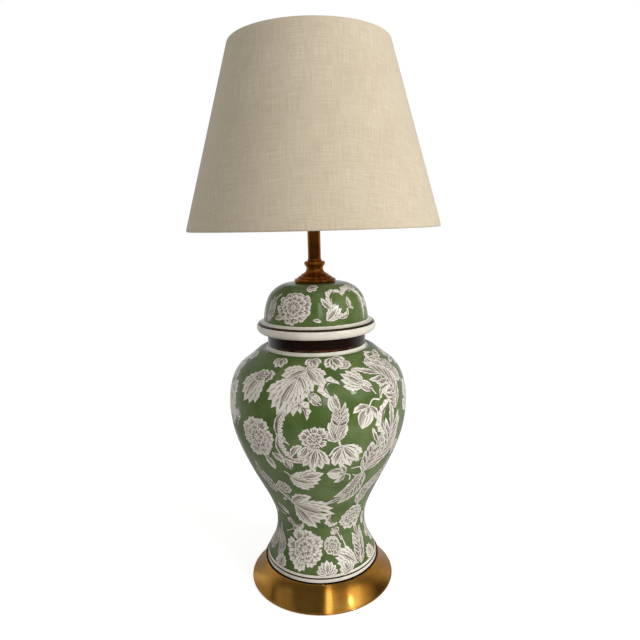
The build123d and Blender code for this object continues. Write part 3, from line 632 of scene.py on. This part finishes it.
def drawFern(art):
    stem(art, [(24, 26), (18, 40), (4, 40)], 2.0, 1.6)
    acanthus(art, [(26, 28), (20, 4), (2, -20), (-26, -34)], 14, 8, 2.0, 0.3)


def drawSmallBlossom(art):
    blossom(art, (0, 0), [(9, 5, 13, 2), (6, 2, 8, 1)], 0.95, 0.0, 2.4)


def drawTulipLeaf(art):
    stem(art, [(-44, 32), (-30, 20), (-14, 2)], 3.0, 2.4)
    fan(art, (-20, 8), (26, -10), 0.9, 5, 0.15)
    lobe(art, (-22, 8), (2, 24), 8, 4, 4)
    lobe(art, (-18, 4), (4, -30), 8, -4, 4)


def drawSideSprig(art):
    acanthus(art, [(10, -38), (-4, -12), (8, 14), (18, 38)], 12, 7, 1.8, 0.28)


def drawCarnation(art):
    blossom(art, (0, 0), [(13, 11, 25, 2), (9, 7, 17, 2), (6, 3, 10, 1)], 0.92, 0.4, 3)


def drawBerry(art):
    bud(art, (4, -5), (-6, 5), 15, 1)
    stem(art, [(4, -5), (10, -18)], 1.6, 1.8)


def drawFootLeaf(art):
    stem(art, [(2, -32), (-12, -2), (-20, 22)], 2.4, 1.6)
    acanthus(art, [(8, -34), (16, -8), (14, 14), (6, 36)], 13, 6, 2.4, 0.32)
    fan(art, (0, -30), (-34, -2), 0.9, 5, 0.13)
    blossom(art, (-36, 6), [(8, 8, 17, 2), (6, 3, 10, 1)], 0.9, 0.1, 2.6)


def drawLotus(art):
    fan(art, (0, -8), (0, 11), 2.6, 7, 0.22)


def drawLongLeaf(art):
    acanthus(art, [(0, -34), (6, -8), (-2, 16), (4, 36)], 12, 7, 1.8, 0.28)


def drawSprig(art):
    fan(art, (-14, -18), (10, 2), 0.7, 4, 0.16)
    curl(art, [(-4, 0), (-4, 20), (10, 26), (16, 16)], 9, 6)
    curl(art, [(2, -16), (18, -14), (22, -2)], 8, 5)
    lobe(art, (-6, -2), (-18, 16), 4, 2, 3)


def drawArch(art):
    curl(art, [(-18, 18), (0, 28), (16, 12), (18, -26)], 14, 9)
    curl(art, [(-14, 14), (-16, 0), (-8, -6)], 9, 5)


def drawTendril(art):
    stem(art, [(-12, -16), (2, -8), (6, 4), (-2, 14)], 1.6, 0.8)
    lobe(art, (4, -6), (15, -2), 4, 1, 2)
    lobe(art, (5, 4), (-4, 14), 4, 1, 2)


def drawSmallLeaf(art):
    lobe(art, (-3, 12), (4, -13), 6, 2, 3)


def drawAster(art):
    r = printLook["aster"]
    blossom(art, (0, 0), [(21, r * 0.5, r, 1), (12, r * 0.3, r * 0.74, 2), (8, r * 0.16, r * 0.48, 2)],
            0.9, 0.2, r * 0.15)


# drawing, degrees round from the front, height in mm, size, turn in degrees; for half of the jar
jarPrint = [
    (drawBigSpray, -16, 374, 1.12, 0), (drawTwist, -21, 303, 1.1, 0), (drawSideFlower, -46, 370, 1.2, 0),
    (drawPeony, -40, 296, 1.12, 0), (drawBud, -2, 362, 1.2, 0), (drawCurl, -11, 343, 1.35, 0),
    (drawPalm, 10, 334, 1.08, 0), (drawFlowerHead, -3, 288, 1.3, 0), (drawLeafPair, 18, 272, 1.25, 0),
    (drawBudLeaf, 25, 378, 1.15, 0), (drawPomegranate, 28, 329, 1.1, 0), (drawGreatLeaf, 43, 292, 1.12, 0),
    (drawTopSpray, 46, 376, 1.1, 0), (drawHanging, -4, 402, 1.3, 0), (drawHanging, 15, 400, 1.8, 10),
    (drawBud, -20, 262, 1.3, -35), (drawStarLeaf, -8, 229, 1.1, 0), (drawPomegranate, 11, 241, 0.9, -75),
    (drawFern, 19, 208, 1.05, 0), (drawSmallBlossom, -30, 208, 1.15, 20), (drawTulipLeaf, -9, 164, 1.4, 0),
    (drawCurl, -30, 133, 1.2, 200), (drawCurl, 14, 140, 1.1, 160), (drawSideSprig, 47, 200, 1.15, -28),
    (drawCarnation, 38, 137, 1.1, 0), (drawBerry, 17, 117, 1.1, 0), (drawPeony, -21, 85, 1.12, 60),
    (drawFootLeaf, 40, 84, 1.0, 0), (drawLotus, 5, 59, 1.15, 0), (drawLotus, 26, 57, 1.0, 20),
    (drawLongLeaf, -60, 84, 0.8, 12), (drawSmallLeaf, -34, 256, 1.1, 10), (drawLongLeaf, -47, 216, 0.9, 18),
    (drawSmallLeaf, -45, 152, 1.0, 30), (drawTendril, -40, 122, 1.0, 0), (drawTendril, 27, 258, 0.8, 60),
    (drawBigSpray, -70, 330, 0.9, 40), (drawTwist, -66, 254, 0.9, 180), (drawBud, -58, 320, 1.1, 120),
    (drawFern, -82, 196, 0.9, 90), (drawTulipLeaf, -74, 150, 0.8, 200), (drawPeony, 76, 330, 1.0, 90),
    (drawTopSpray, 88, 384, 0.8, 30), (drawPalm, 64, 384, 0.8, 20), (drawGreatLeaf, 84, 262, 0.9, 130),
    (drawSmallBlossom, 62, 256, 1.2, 0), (drawLeafPair, 66, 222, 1.0, 40), (drawStarLeaf, 84, 186, 0.9, 70),
    (drawSideSprig, 70, 150, 0.9, 10), (drawCarnation, 88, 96, 1.0, 0), (drawFootLeaf, -82, 80, 0.75, 0),
    (drawLotus, -50, 58, 0.9, 0), (drawLotus, 66, 58, 1.0, 0), (drawSmallLeaf, 62, 118, 1.1, 0),
    (drawHanging, -34, 400, 1.3, 0), (drawHanging, 66, 400, 1.2, 0), (drawHanging, -78, 398, 1.4, 0),
    (drawBudLeaf, -78, 378, 0.9, 0), (drawTendril, -30, 182, 0.8, 100),
]

lidPrint = [
    (drawAster, -25, 484, 1.0, 0), (drawSprig, 21, 483, 1.05, 0), (drawLongLeaf, -58, 482, 0.72, -20),
    (drawArch, 50, 484, 1.0, 0), (drawHanging, -2, 510, 1.2, 60), (drawSideSprig, -84, 484, 0.75, 30),
    (drawBud, 76, 484, 1.2, 60), (drawCurl, 86, 470, 1.1, 0), (drawSmallLeaf, -42, 466, 0.7, 80),
    (drawHanging, 62, 507, 1.1, -40), (drawSmallLeaf, 1, 464, 0.5, 60),
]

printTones = ["pale", "wash", "line"]


def inside(spots, outline):
    # which spots a closed outline goes round, however it crosses itself
    start, end = outline, np.roll(outline, -1, axis=0)
    rise = end[:, 1] - start[:, 1]
    rise[rise == 0] = 1e-9
    x, y = spots[:, :1], spots[:, 1:]
    crossed = (start[:, 1] > y) != (end[:, 1] > y)
    left = x < start[:, 0] + (y - start[:, 1]) * (end[:, 0] - start[:, 0]) / rise
    return np.where(crossed & left, np.sign(rise), 0).sum(axis=1) != 0


def tonedTriangles(corners, edges, outlines):
    # triangles between the edges, each with the tone of the topmost outline round it, or -1
    made = delaunay_2d_cdt(corners, edges, [], 0, 1e-4, False)
    spots = np.array([tuple(c) for c in made[0]])
    triangles = np.array([list(t) for t in made[2]])
    middles = spots[triangles].mean(axis=1)
    found = np.full(len(triangles), -1)
    for outline, tone in outlines:
        low, high = outline.min(axis=0), outline.max(axis=0)
        near = np.flatnonzero(((middles > low) & (middles < high)).all(axis=1))
        found[near[inside(middles[near], outline)]] = printTones.index(tone)
    return spots, triangles, found


def toneEdges(triangles, found):
    # the edges with another tone on each side
    sides = np.concatenate([triangles[:, [0, 1]], triangles[:, [1, 2]], triangles[:, [2, 0]]])
    sides = np.sort(sides, axis=1)
    tones = np.tile(found, 3)
    order = np.lexsort((sides[:, 1], sides[:, 0]))
    sides, tones = sides[order], tones[order]
    pairs = np.flatnonzero((sides[:-1] == sides[1:]).all(axis=1))
    inner = np.zeros(len(sides), dtype=bool)
    inner[pairs] = inner[pairs + 1] = True
    changing = pairs[tones[pairs] != tones[pairs + 1]]
    rim = np.flatnonzero(~inner & (tones >= 0))
    return sides[np.concatenate([changing, rim])]


def cutDrawing(draw, size, turn):
    # corners, triangles and tones of a drawing
    art = []
    draw(art)
    corners, edges, outlines = [], [], []
    for points, tone in art:
        first, count = len(corners), len(points)
        edges += [(first + k, first + (k + 1) % count) for k in range(count)]
        corners += [turned(p, radians(turn)) * size for p in points]
        outlines.append((np.array([tuple(c) for c in corners[first:]]), tone))
    lowX, highX = min(c.x for c in corners), max(c.x for c in corners)
    lowY, highY = min(c.y for c in corners), max(c.y for c in corners)
    spots, triangles, found = tonedTriangles(corners, edges, outlines)
    # once more, without the lines that lie hidden under others
    used, edges = np.unique(toneEdges(triangles, found), return_inverse=True)
    corners = [Vector(c) for c in spots[used]]
    grid = jarLook["grid"]
    for i in range(int((highX - lowX) / grid) + 1):
        for j in range(int((highY - lowY) / grid) + 1):
            corners.append(Vector((lowX + grid * (i + 0.5 * (j % 2)), lowY + grid * j)))
    spots, triangles, found = tonedTriangles(corners, edges.reshape(-1, 2).tolist(), outlines)
    kept = triangles[found >= 0]
    used, order = np.unique(kept, return_inverse=True)
    return spots[used].tolist(), order.reshape(kept.shape).tolist(), found[found >= 0].tolist()


def layPrint(name, face, motifs):
    # each drawing is laid on the front and again half way round
    halves = [([], [], [], []) for side in range(2)]
    for number, (draw, angle, height, size, turn) in enumerate(motifs):
        corners, triangles, tones = cutDrawing(draw, size, turn)
        middle = face.runAt(height)
        lift = jarLook["print"] + jarLook["printStep"] * (number % 5)
        for side, (places, normals, faces, slots) in enumerate(halves):
            first = len(places)
            for x, y in corners:
                run = middle + y * mm
                around = radians(angle + 180 * side) + x * mm / face.at(run)[0]
                place, normal = face.spot(around, run, lift)
                places.append(place)
                normals.append(normal)
            faces += [[first + k for k in triangle] for triangle in triangles]
            slots += tones
    for side, (places, normals, faces, slots) in zip(("front", "back"), halves):
        piece = makeMesh(name + side, places, faces, normals, slots, [glaze[t] for t in printTones])
        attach(piece, "lamp")
        print(piece.name, len(faces), "triangles")


layPrint("jar_print_", jarFace, jarPrint)
layPrint("lid_print_", lidFace, lidPrint)


# metals, plastics and other small parts

# light and dark tone, roughness, brushing, closeness of the stains and of the turned rings
brassLook = {
    "brassPlinth": ((234, 176, 84), (204, 142, 56), 0.17, 0.8, 14, 900),
    "brassAntique": ((198, 122, 46), (134, 76, 24), 0.24, 0.5, 24, 120),
    "brassBright": ((214, 172, 96), (150, 108, 52), 0.24, 0.2, 80, 900),
}


def brassMaterial(name, light, dark, roughness, brushing, stain, lines):
    # spun brass: fine rings round the axis, clouds of patina, worn bright in places
    material, tree, shader = newMaterial(name, Metallic=1.0, Roughness=roughness, Anisotropic=brushing,
                                         Anisotropic_Rotation=0.25)
    rings = noise(tree, objectPlace(tree, (4, 4, lines)), 1.0, 3, 0.6)
    clouds = noise(tree, objectPlace(tree), stain, 4, 0.6)
    blend = ramp(tree, sums(tree, sums(tree, rings, 0.35, "MULTIPLY"), clouds), 0.45, 0.85)
    tree.links.new(mixColour(tree, blend, tint(*light), tint(*dark)), shader.inputs["Base Color"])
    wear = ramp(tree, clouds, 0.3, 0.8, roughness * 0.8, roughness * 1.35)
    tree.links.new(wear, shader.inputs["Roughness"])
    tangent = addNode(tree, "Tangent", direction_type="RADIAL", axis="Z")
    tree.links.new(tangent.outputs[0], shader.inputs["Tangent"])
    bump(tree, shader, rings, 0.012 * mm)
    return material


# colour, roughness, grain and dirt
metalLook = {
    "zincSteel": ((176, 176, 172), 0.34, 300, 0.35),
    "castIron": ((84, 80, 76), 0.6, 240, 0.5),
    "nickelPlate": ((196, 190, 180), 0.2, 500, 0.2),
}


def metalMaterial(name, colour, roughness, grain, dirt):
    material, tree, shader = newMaterial(name, Metallic=1.0, Roughness=roughness)
    cloud = noise(tree, objectPlace(tree), grain, 4, 0.65)
    dull = tint(*[c * 0.55 for c in colour])
    shade = mixColour(tree, ramp(tree, cloud, 0.4, 0.7, 0, dirt), tint(*colour), dull)
    tree.links.new(shade, shader.inputs["Base Color"])
    wear = ramp(tree, cloud, 0.3, 0.8, roughness * 0.8, roughness * 1.4)
    tree.links.new(wear, shader.inputs["Roughness"])
    bump(tree, shader, cloud, 0.02 * mm)
    return material


# colour, roughness, grain, its depth in mm, its darkest tone and what else the shader takes
plainLook = {
    "rubberBlack": ((20, 18, 17), 0.7, 700, 0.04, 0.8),
    "bakeliteBlack": ((24, 22, 20), 0.32, 300, 0.04, 0.8),
    "fibrePaper": ((132, 96, 62), 0.85, 1200, 0.1, 0.7),
    "phenolicBrown": ((58, 38, 28), 0.4, 500, 0.04, 0.8),
    "blackGlass": ((14, 14, 16), 0.08, 200, 0.01, 0.8),
    "styreneWhite": ((236, 230, 214), 0.5, 500, 0.02, 0.96),
    "enamelWhite": ((224, 218, 204), 0.35, 300, 0.03, 0.92),
    "feltGreen": ((38, 62, 44), 0.95, 2600, 0.3, 0.45, {"Sheen_Weight": 0.5}),
    "opalGlass": ((238, 236, 228), 0.12, 90, 0.01, 0.97, {"Subsurface_Weight": 0.3}),
}


def plainMaterial(name, colour, roughness, grain, depth, contrast, finish=None):
    material, tree, shader = newMaterial(name, Roughness=roughness, **(finish or {}))
    cloud = noise(tree, objectPlace(tree), grain, 4, 0.6)
    shade = mixColour(tree, cloud, tint(*colour), tint(*[c * contrast for c in colour]))
    tree.links.new(shade, shader.inputs["Base Color"])
    bump(tree, shader, cloud, depth * mm)
    return material


# the pieces that each finish is for
wearers = {
    "brassPlinth": "plinth_skirt",
    "brassAntique": "vase_cap neck_spool neck_tube check_ring harp_saddle harp harp_stud"
                    " harp_sleeve_left harp_sleeve_right finial",
    "brassBright": "holder_cup holder_shell terminal_screws screw_shell centre_contact switch_stem",
    "zincSteel": "base_nut base_washer plinth_plate centre_rod holder_set_screw",
    "castIron": "plinth_weight",
    "nickelPlate": "bulb_cap bulb_tip",
    "rubberBlack": "lid_gasket cap_gasket foot_pad",
    "bakeliteBlack": "cord_grommet switch_key",
    "fibrePaper": "holder_liner",
    "phenolicBrown": "switch_block",
    "blackGlass": "bulb_insulator",
    "styreneWhite": "shade_liner",
    "enamelWhite": "shade_ring_top shade_ring_bottom shade_spider",
    "feltGreen": "plinth_felt",
    "opalGlass": "bulb_globe",
}
for make, looks in ((brassMaterial, brassLook), (metalMaterial, metalLook), (plainMaterial, plainLook)):
    for finish, look in looks.items():
        dress(wearers[finish], make(finish, *look))
print("metal and small parts dressed")


# linen shade

shadeLook = {
    "linen": (204, 190, 164), "shadow": (176, 160, 134), "bright": (222, 210, 186),
    "cloth": 0.5 * mm, "roll": 2.1 * mm,            # thickness, and radius of the rolled edges
    "turning": 9 * mm, "tuck": 2.2 * mm,            # cloth turned inside, and how far in it lies
    "seam": 12 * mm, "seamRise": 0.35 * mm,
    "sides": 320, "rows": 66, "rollSteps": 8,
    "plain": 12,                                    # rows at each edge without the seam
}


def linenMaterial():
    material, tree, shader = newMaterial("linen", Roughness=0.9, Sheen_Weight=0.25, Sheen_Roughness=0.5)
    cut = addNode(tree, "UVMap", uv_map="linenCut").outputs[0]

    def threads(long, short, detail=3.0):
        place = addNode(tree, "Mapping", {"Vector": cut, "Scale": (long, short, 1)}).outputs[0]
        return noise(tree, place, 1.0, detail, 0.6)

    weft, warp = threads(30, 1000), threads(1000, 30)
    slubWeft, slubWarp = threads(26, 420, 2), threads(420, 26, 2)
    patches = noise(tree, cut, 14, 3)
    weave = sums(tree, sums(tree, weft, warp), 0.5, "MULTIPLY")
    linen, shadow, bright = (tint(*shadeLook[k]) for k in ("linen", "shadow", "bright"))
    body = mixColour(tree, ramp(tree, weave, 0.36, 0.64), shadow, bright)
    body = mixColour(tree, 0.55, body, linen)
    body = mixColour(tree, ramp(tree, slubWeft, 0.6, 0.74, 0, 0.45), body, bright)
    body = mixColour(tree, ramp(tree, slubWarp, 0.62, 0.76, 0, 0.4), body, shadow)
    body = mixColour(tree, ramp(tree, patches, 0.35, 0.7, 0, 0.14), body, shadow)
    tree.links.new(body, shader.inputs["Base Color"])
    bump(tree, shader, sums(tree, weave, sums(tree, slubWeft, 0.6, "MULTIPLY")), 0.35 * mm, 0.8)
    return material


def makeLinen():
    # one cloth from the tuck inside the top ring, over the outside, to the tuck inside the bottom ring
    skin = nodes["shade_linen"].data.vertices
    low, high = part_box("shade_linen")
    bottom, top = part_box("shade_hem_bottom")[0].z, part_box("shade_hem_top")[1].z
    wide = max(hypot(v.co.x, v.co.y) for v in skin)
    narrow = max(hypot(v.co.x, v.co.y) for v in skin if v.co.z > high.z - 1e-5)
    slope = (wide - narrow) / (high.z - low.z)
    tilt = atan2(slope, 1)
    roll, cloth = shadeLook["roll"], shadeLook["cloth"]

    def outside(z):
        return wide - (z - low.z) * slope - 0.02 * mm

    # the cloth's middle line, from the inner tuck at the top round to the inner tuck at the bottom
    turning, tuck = shadeLook["turning"], shadeLook["tuck"]
    rows, bends = shadeLook["rows"], shadeLook["rollSteps"]
    tuckTop, tuckBottom = top - turning, bottom + turning
    centreTop, centreBottom = top - cloth / 2 - roll, bottom + cloth / 2 + roll
    line = [(outside(tuckTop) - tuck, tuckTop)]
    for k in range(bends + 1):
        turn = pi - (pi - tilt) * k / bends
        radius = outside(centreTop) - cloth / 2 - roll + roll * cos(turn)
        line.append((radius, centreTop + roll * sin(turn)))
    for k in range(1, rows):
        z = centreTop + (centreBottom - centreTop) * k / rows
        line.append((outside(z) - cloth / 2, z))
    for k in range(bends + 1):
        turn = tilt - (pi + tilt) * k / bends
        radius = outside(centreBottom) - cloth / 2 - roll + roll * cos(turn)
        line.append((radius, centreBottom + roll * sin(turn)))
    line.append((outside(tuckBottom) - tuck, tuckBottom))
    points = [Vector(p) for p in line]
    ahead = [(b - a).normalized() for a, b in zip(points, points[1:])]
    ahead = [ahead[0]] + [(a + b).normalized() for a, b in zip(ahead, ahead[1:])] + [ahead[-1]]
    outer = [p + Vector((-d.y, d.x)) * -cloth / 2 for p, d in zip(points, ahead)]
    inner = [p + Vector((-d.y, d.x)) * cloth / 2 for p, d in zip(points, ahead)]
    section = outer + inner[::-1]
    sides, count, plain = shadeLook["sides"], len(section), shadeLook["plain"]
    places, faces = [], []
    for k in range(sides):
        angle = pi + 2 * pi * k / sides                   # the first column is the seam at the back
        off = min(k, sides - k) * 2 * pi / sides * (wide + narrow) / 2
        rise = shadeLook["seamRise"] * max(0, min(1, (shadeLook["seam"] / 2 - off) / mm + 0.5))
        for i, p in enumerate(section):
            radius = p.x + (rise if plain < i < count // 2 - plain else 0)
            places.append((radius * sin(angle), -radius * cos(angle), p.y))
    for k in range(sides):
        after = (k + 1) % sides
        for i in range(count):
            j = (i + 1) % count
            faces.append((k * count + i, after * count + i, after * count + j, k * count + j))
    piece = makeMesh("shade_cloth", places, faces, materials=[linenMaterial()])
    mesh = piece.data
    # the cone rolled out flat, so that the threads run straight as in the cut cloth
    layer = mesh.uv_layers.new(name="linenCut")
    for face in mesh.polygons:
        start = face.vertices[0] // count
        for corner in face.loop_indices:
            index = mesh.loops[corner].vertex_index
            column, row = index // count, index % count
            if start == sides - 1 and column == 0:
                column = sides
            angle = (2 * pi * column / sides - pi) * sin(tilt)
            away = outside(section[row].y) / sin(tilt)
            layer.data[corner].uv = (away * sin(angle), -away * cos(angle))
    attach(piece, "shade")
    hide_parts("shade_linen", "shade_hem_top", "shade_hem_bottom")
    # the cloth's outside radius at its bottom and top edge
    wideEdge, narrowEdge = outside(bottom), outside(top)


makeLinen()


# camera: where the photograph was taken from

cameraLook = {
    "place": (0.0, -0.9083, 0.6116), "pan": 0.409, "tilt": -10.008, "roll": -1.404,
    "film": 36, "focus": 559.7 / 640 * 36,      # width of the picture and focal length in mm
}


def makeCamera():
    data = bpy.data.cameras.new("camera")
    data.lens = cameraLook["focus"]
    data.sensor_width = cameraLook["film"]
    data.clip_start, data.clip_end = 0.01, 50
    camera = bpy.data.objects.new("camera", data)
    bpy.context.scene.collection.objects.link(camera)
    pan, tilt, roll = (radians(cameraLook[k]) for k in ("pan", "tilt", "roll"))
    forward = Vector((sin(pan) * cos(tilt), cos(pan) * cos(tilt), sin(tilt)))
    right = Vector((cos(pan), -sin(pan), 0))
    up = right.cross(forward)
    across = right * cos(roll) + up * sin(roll)
    upright = up * cos(roll) - right * sin(roll)
    axes = Matrix((across, upright, -forward)).transposed().to_4x4()
    camera.matrix_world = Matrix.Translation(cameraLook["place"]) @ axes
    bpy.context.scene.camera = camera


# light and surroundings

studioLook = {
    "ambient": 0.48,                # light from all sides
    "room": 0.07, "backdrop": 0.55,  # what polished faces mirror: low down in front, and round the back
    # panels over eye level in front, by degrees round from the viewer and strength
    "panels": [(-180, 0.5), (-130, 0.3), (-97, 0.26), (-90, 0.08), (-82, 0.26), (-60, 0.24), (-50, 0.1),
               (-20, 0.1), (0, 0.1), (5, 0.3), (7, 2.9), (12, 2.7), (16, 0.75), (26, 0.46), (36, 0.4),
               (44, 0.6), (50, 1.25), (62, 1.3), (70, 0.7), (84, 0.4), (92, 0.18), (100, 0.05),
               (130, 0.16), (180, 0.5)],
    # lamps: power, place, aim, width and height of the panel
    "key": (42, (1.8, -1.4, 0.95), (0, 0, 0.5), 1.1, 1.1),
    "fill": (2.0, (-1.8, -1.4, 0.9), (0, 0, 0.4), 1.2, 1.2),
    "window": (3.4, (1.56, -1.41, 1.48), (0, -0.1, 0.4), 0.22, 0.5),
    "floor": (200, 199, 196), "floorRadius": 0.9, "floorGlow": 0.74, "floorSides": 96,
}


def makeWorld():
    world = bpy.data.worlds.new("studio")
    bpy.context.scene.world = world
    world.use_nodes = True
    tree = world.node_tree
    background = tree.nodes["Background"]
    background.inputs["Color"].default_value = (1, 1, 1, 1)
    path = addNode(tree, "LightPath")
    seen = sums(tree, path.outputs["Is Camera Ray"], path.outputs["Is Transmission Ray"], "MAXIMUM")
    toward = addNode(tree, "SeparateXYZ", {0: addNode(tree, "TexCoord").outputs["Generated"]}).outputs
    front = sums(tree, toward["Y"], -1.0, "MULTIPLY")
    around = addNode(tree, "MapRange", {"Value": sums(tree, toward["X"], front, "ARCTAN2"),
                                        "From Min": -pi, "From Max": pi}).outputs[0]
    panels = addNode(tree, "ValToRGB", {"Fac": around})
    stops = panels.color_ramp.elements
    peak = max(strength for angle, strength in studioLook["panels"])
    for k, (angle, strength) in enumerate(studioLook["panels"]):
        stop = stops[k] if k < 2 else stops.new(angle / 360 + 0.5)
        stop.position = angle / 360 + 0.5
        stop.color = (strength / peak,) * 3 + (1,)
    high = sums(tree, panels.outputs[0], peak, "MULTIPLY")
    low = ramp(tree, toward["Y"], -0.3, 0.6, studioLook["room"], studioLook["backdrop"])
    rise = ramp(tree, toward["Z"], 0.08, 0.3)
    mirrored = sums(tree, sums(tree, high, rise, "MULTIPLY"),
                    sums(tree, low, sums(tree, 1.0, rise, "SUBTRACT"), "MULTIPLY"))
    mirrored = sums(tree, mirrored, path.outputs["Is Glossy Ray"], "MULTIPLY")
    rest = addNode(tree, "MapRange", {"Value": path.outputs["Is Glossy Ray"], "From Min": 0, "From Max": 1,
                                      "To Min": studioLook["ambient"], "To Max": 0.0}).outputs[0]
    strength = sums(tree, sums(tree, mirrored, rest), seen, "MAXIMUM")
    tree.links.new(strength, background.inputs["Strength"])


def areaLight(name, glossy, diffuse):
    power, place, aim, wide, tall = studioLook[name]
    data = bpy.data.lights.new(name, "AREA")
    data.energy = power
    data.shape = "RECTANGLE"
    data.size, data.size_y = wide, tall
    light = bpy.data.objects.new(name, data)
    bpy.context.scene.collection.objects.link(light)
    away = Vector(place) - Vector(aim)
    light.matrix_world = Matrix.Translation(place) @ away.to_track_quat("Z", "Y").to_matrix().to_4x4()
    light.visible_glossy, light.visible_diffuse = glossy, diffuse


def makeFloor():
    radius, sides = studioLook["floorRadius"], studioLook["floorSides"]
    rim = [(radius * cos(k * 2 * pi / sides), radius * sin(k * 2 * pi / sides), 0) for k in range(sides)]
    floor = makeMesh("floor", rim, [tuple(range(sides))])
    material = bpy.data.materials.new("paleFloor")
    material.use_nodes = True
    tree = material.node_tree
    tree.nodes.remove(tree.nodes["Principled BSDF"])
    body = addNode(tree, "BsdfDiffuse", {"Color": tint(*studioLook["floor"])})
    glow = addNode(tree, "Emission", {"Color": (1, 1, 1, 1)})
    path = addNode(tree, "LightPath")
    tree.links.new(sums(tree, path.outputs["Is Camera Ray"], studioLook["floorGlow"], "MULTIPLY"),
                   glow.inputs["Strength"])
    both = addNode(tree, "AddShader", {0: body.outputs[0], 1: glow.outputs[0]})
    tree.links.new(both.outputs[0], tree.nodes["Material Output"].inputs["Surface"])
    floor.data.materials.append(material)
    floor.location.z = -0.5 * mm        # just under the felt
    floor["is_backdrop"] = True


makeCamera()
makeWorld()
makeFloor()
areaLight("key", glossy=False, diffuse=True)
areaLight("fill", glossy=False, diffuse=True)
areaLight("window", glossy=True, diffuse=False)     # the highlight on the lid
print("camera, room and lights made")

bpy.context.scene.view_settings.view_transform = "Standard"
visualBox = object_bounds()
print("sizes:", [round(v, 4) for box in (cadBox, visualBox) for corner in box for v in corner])
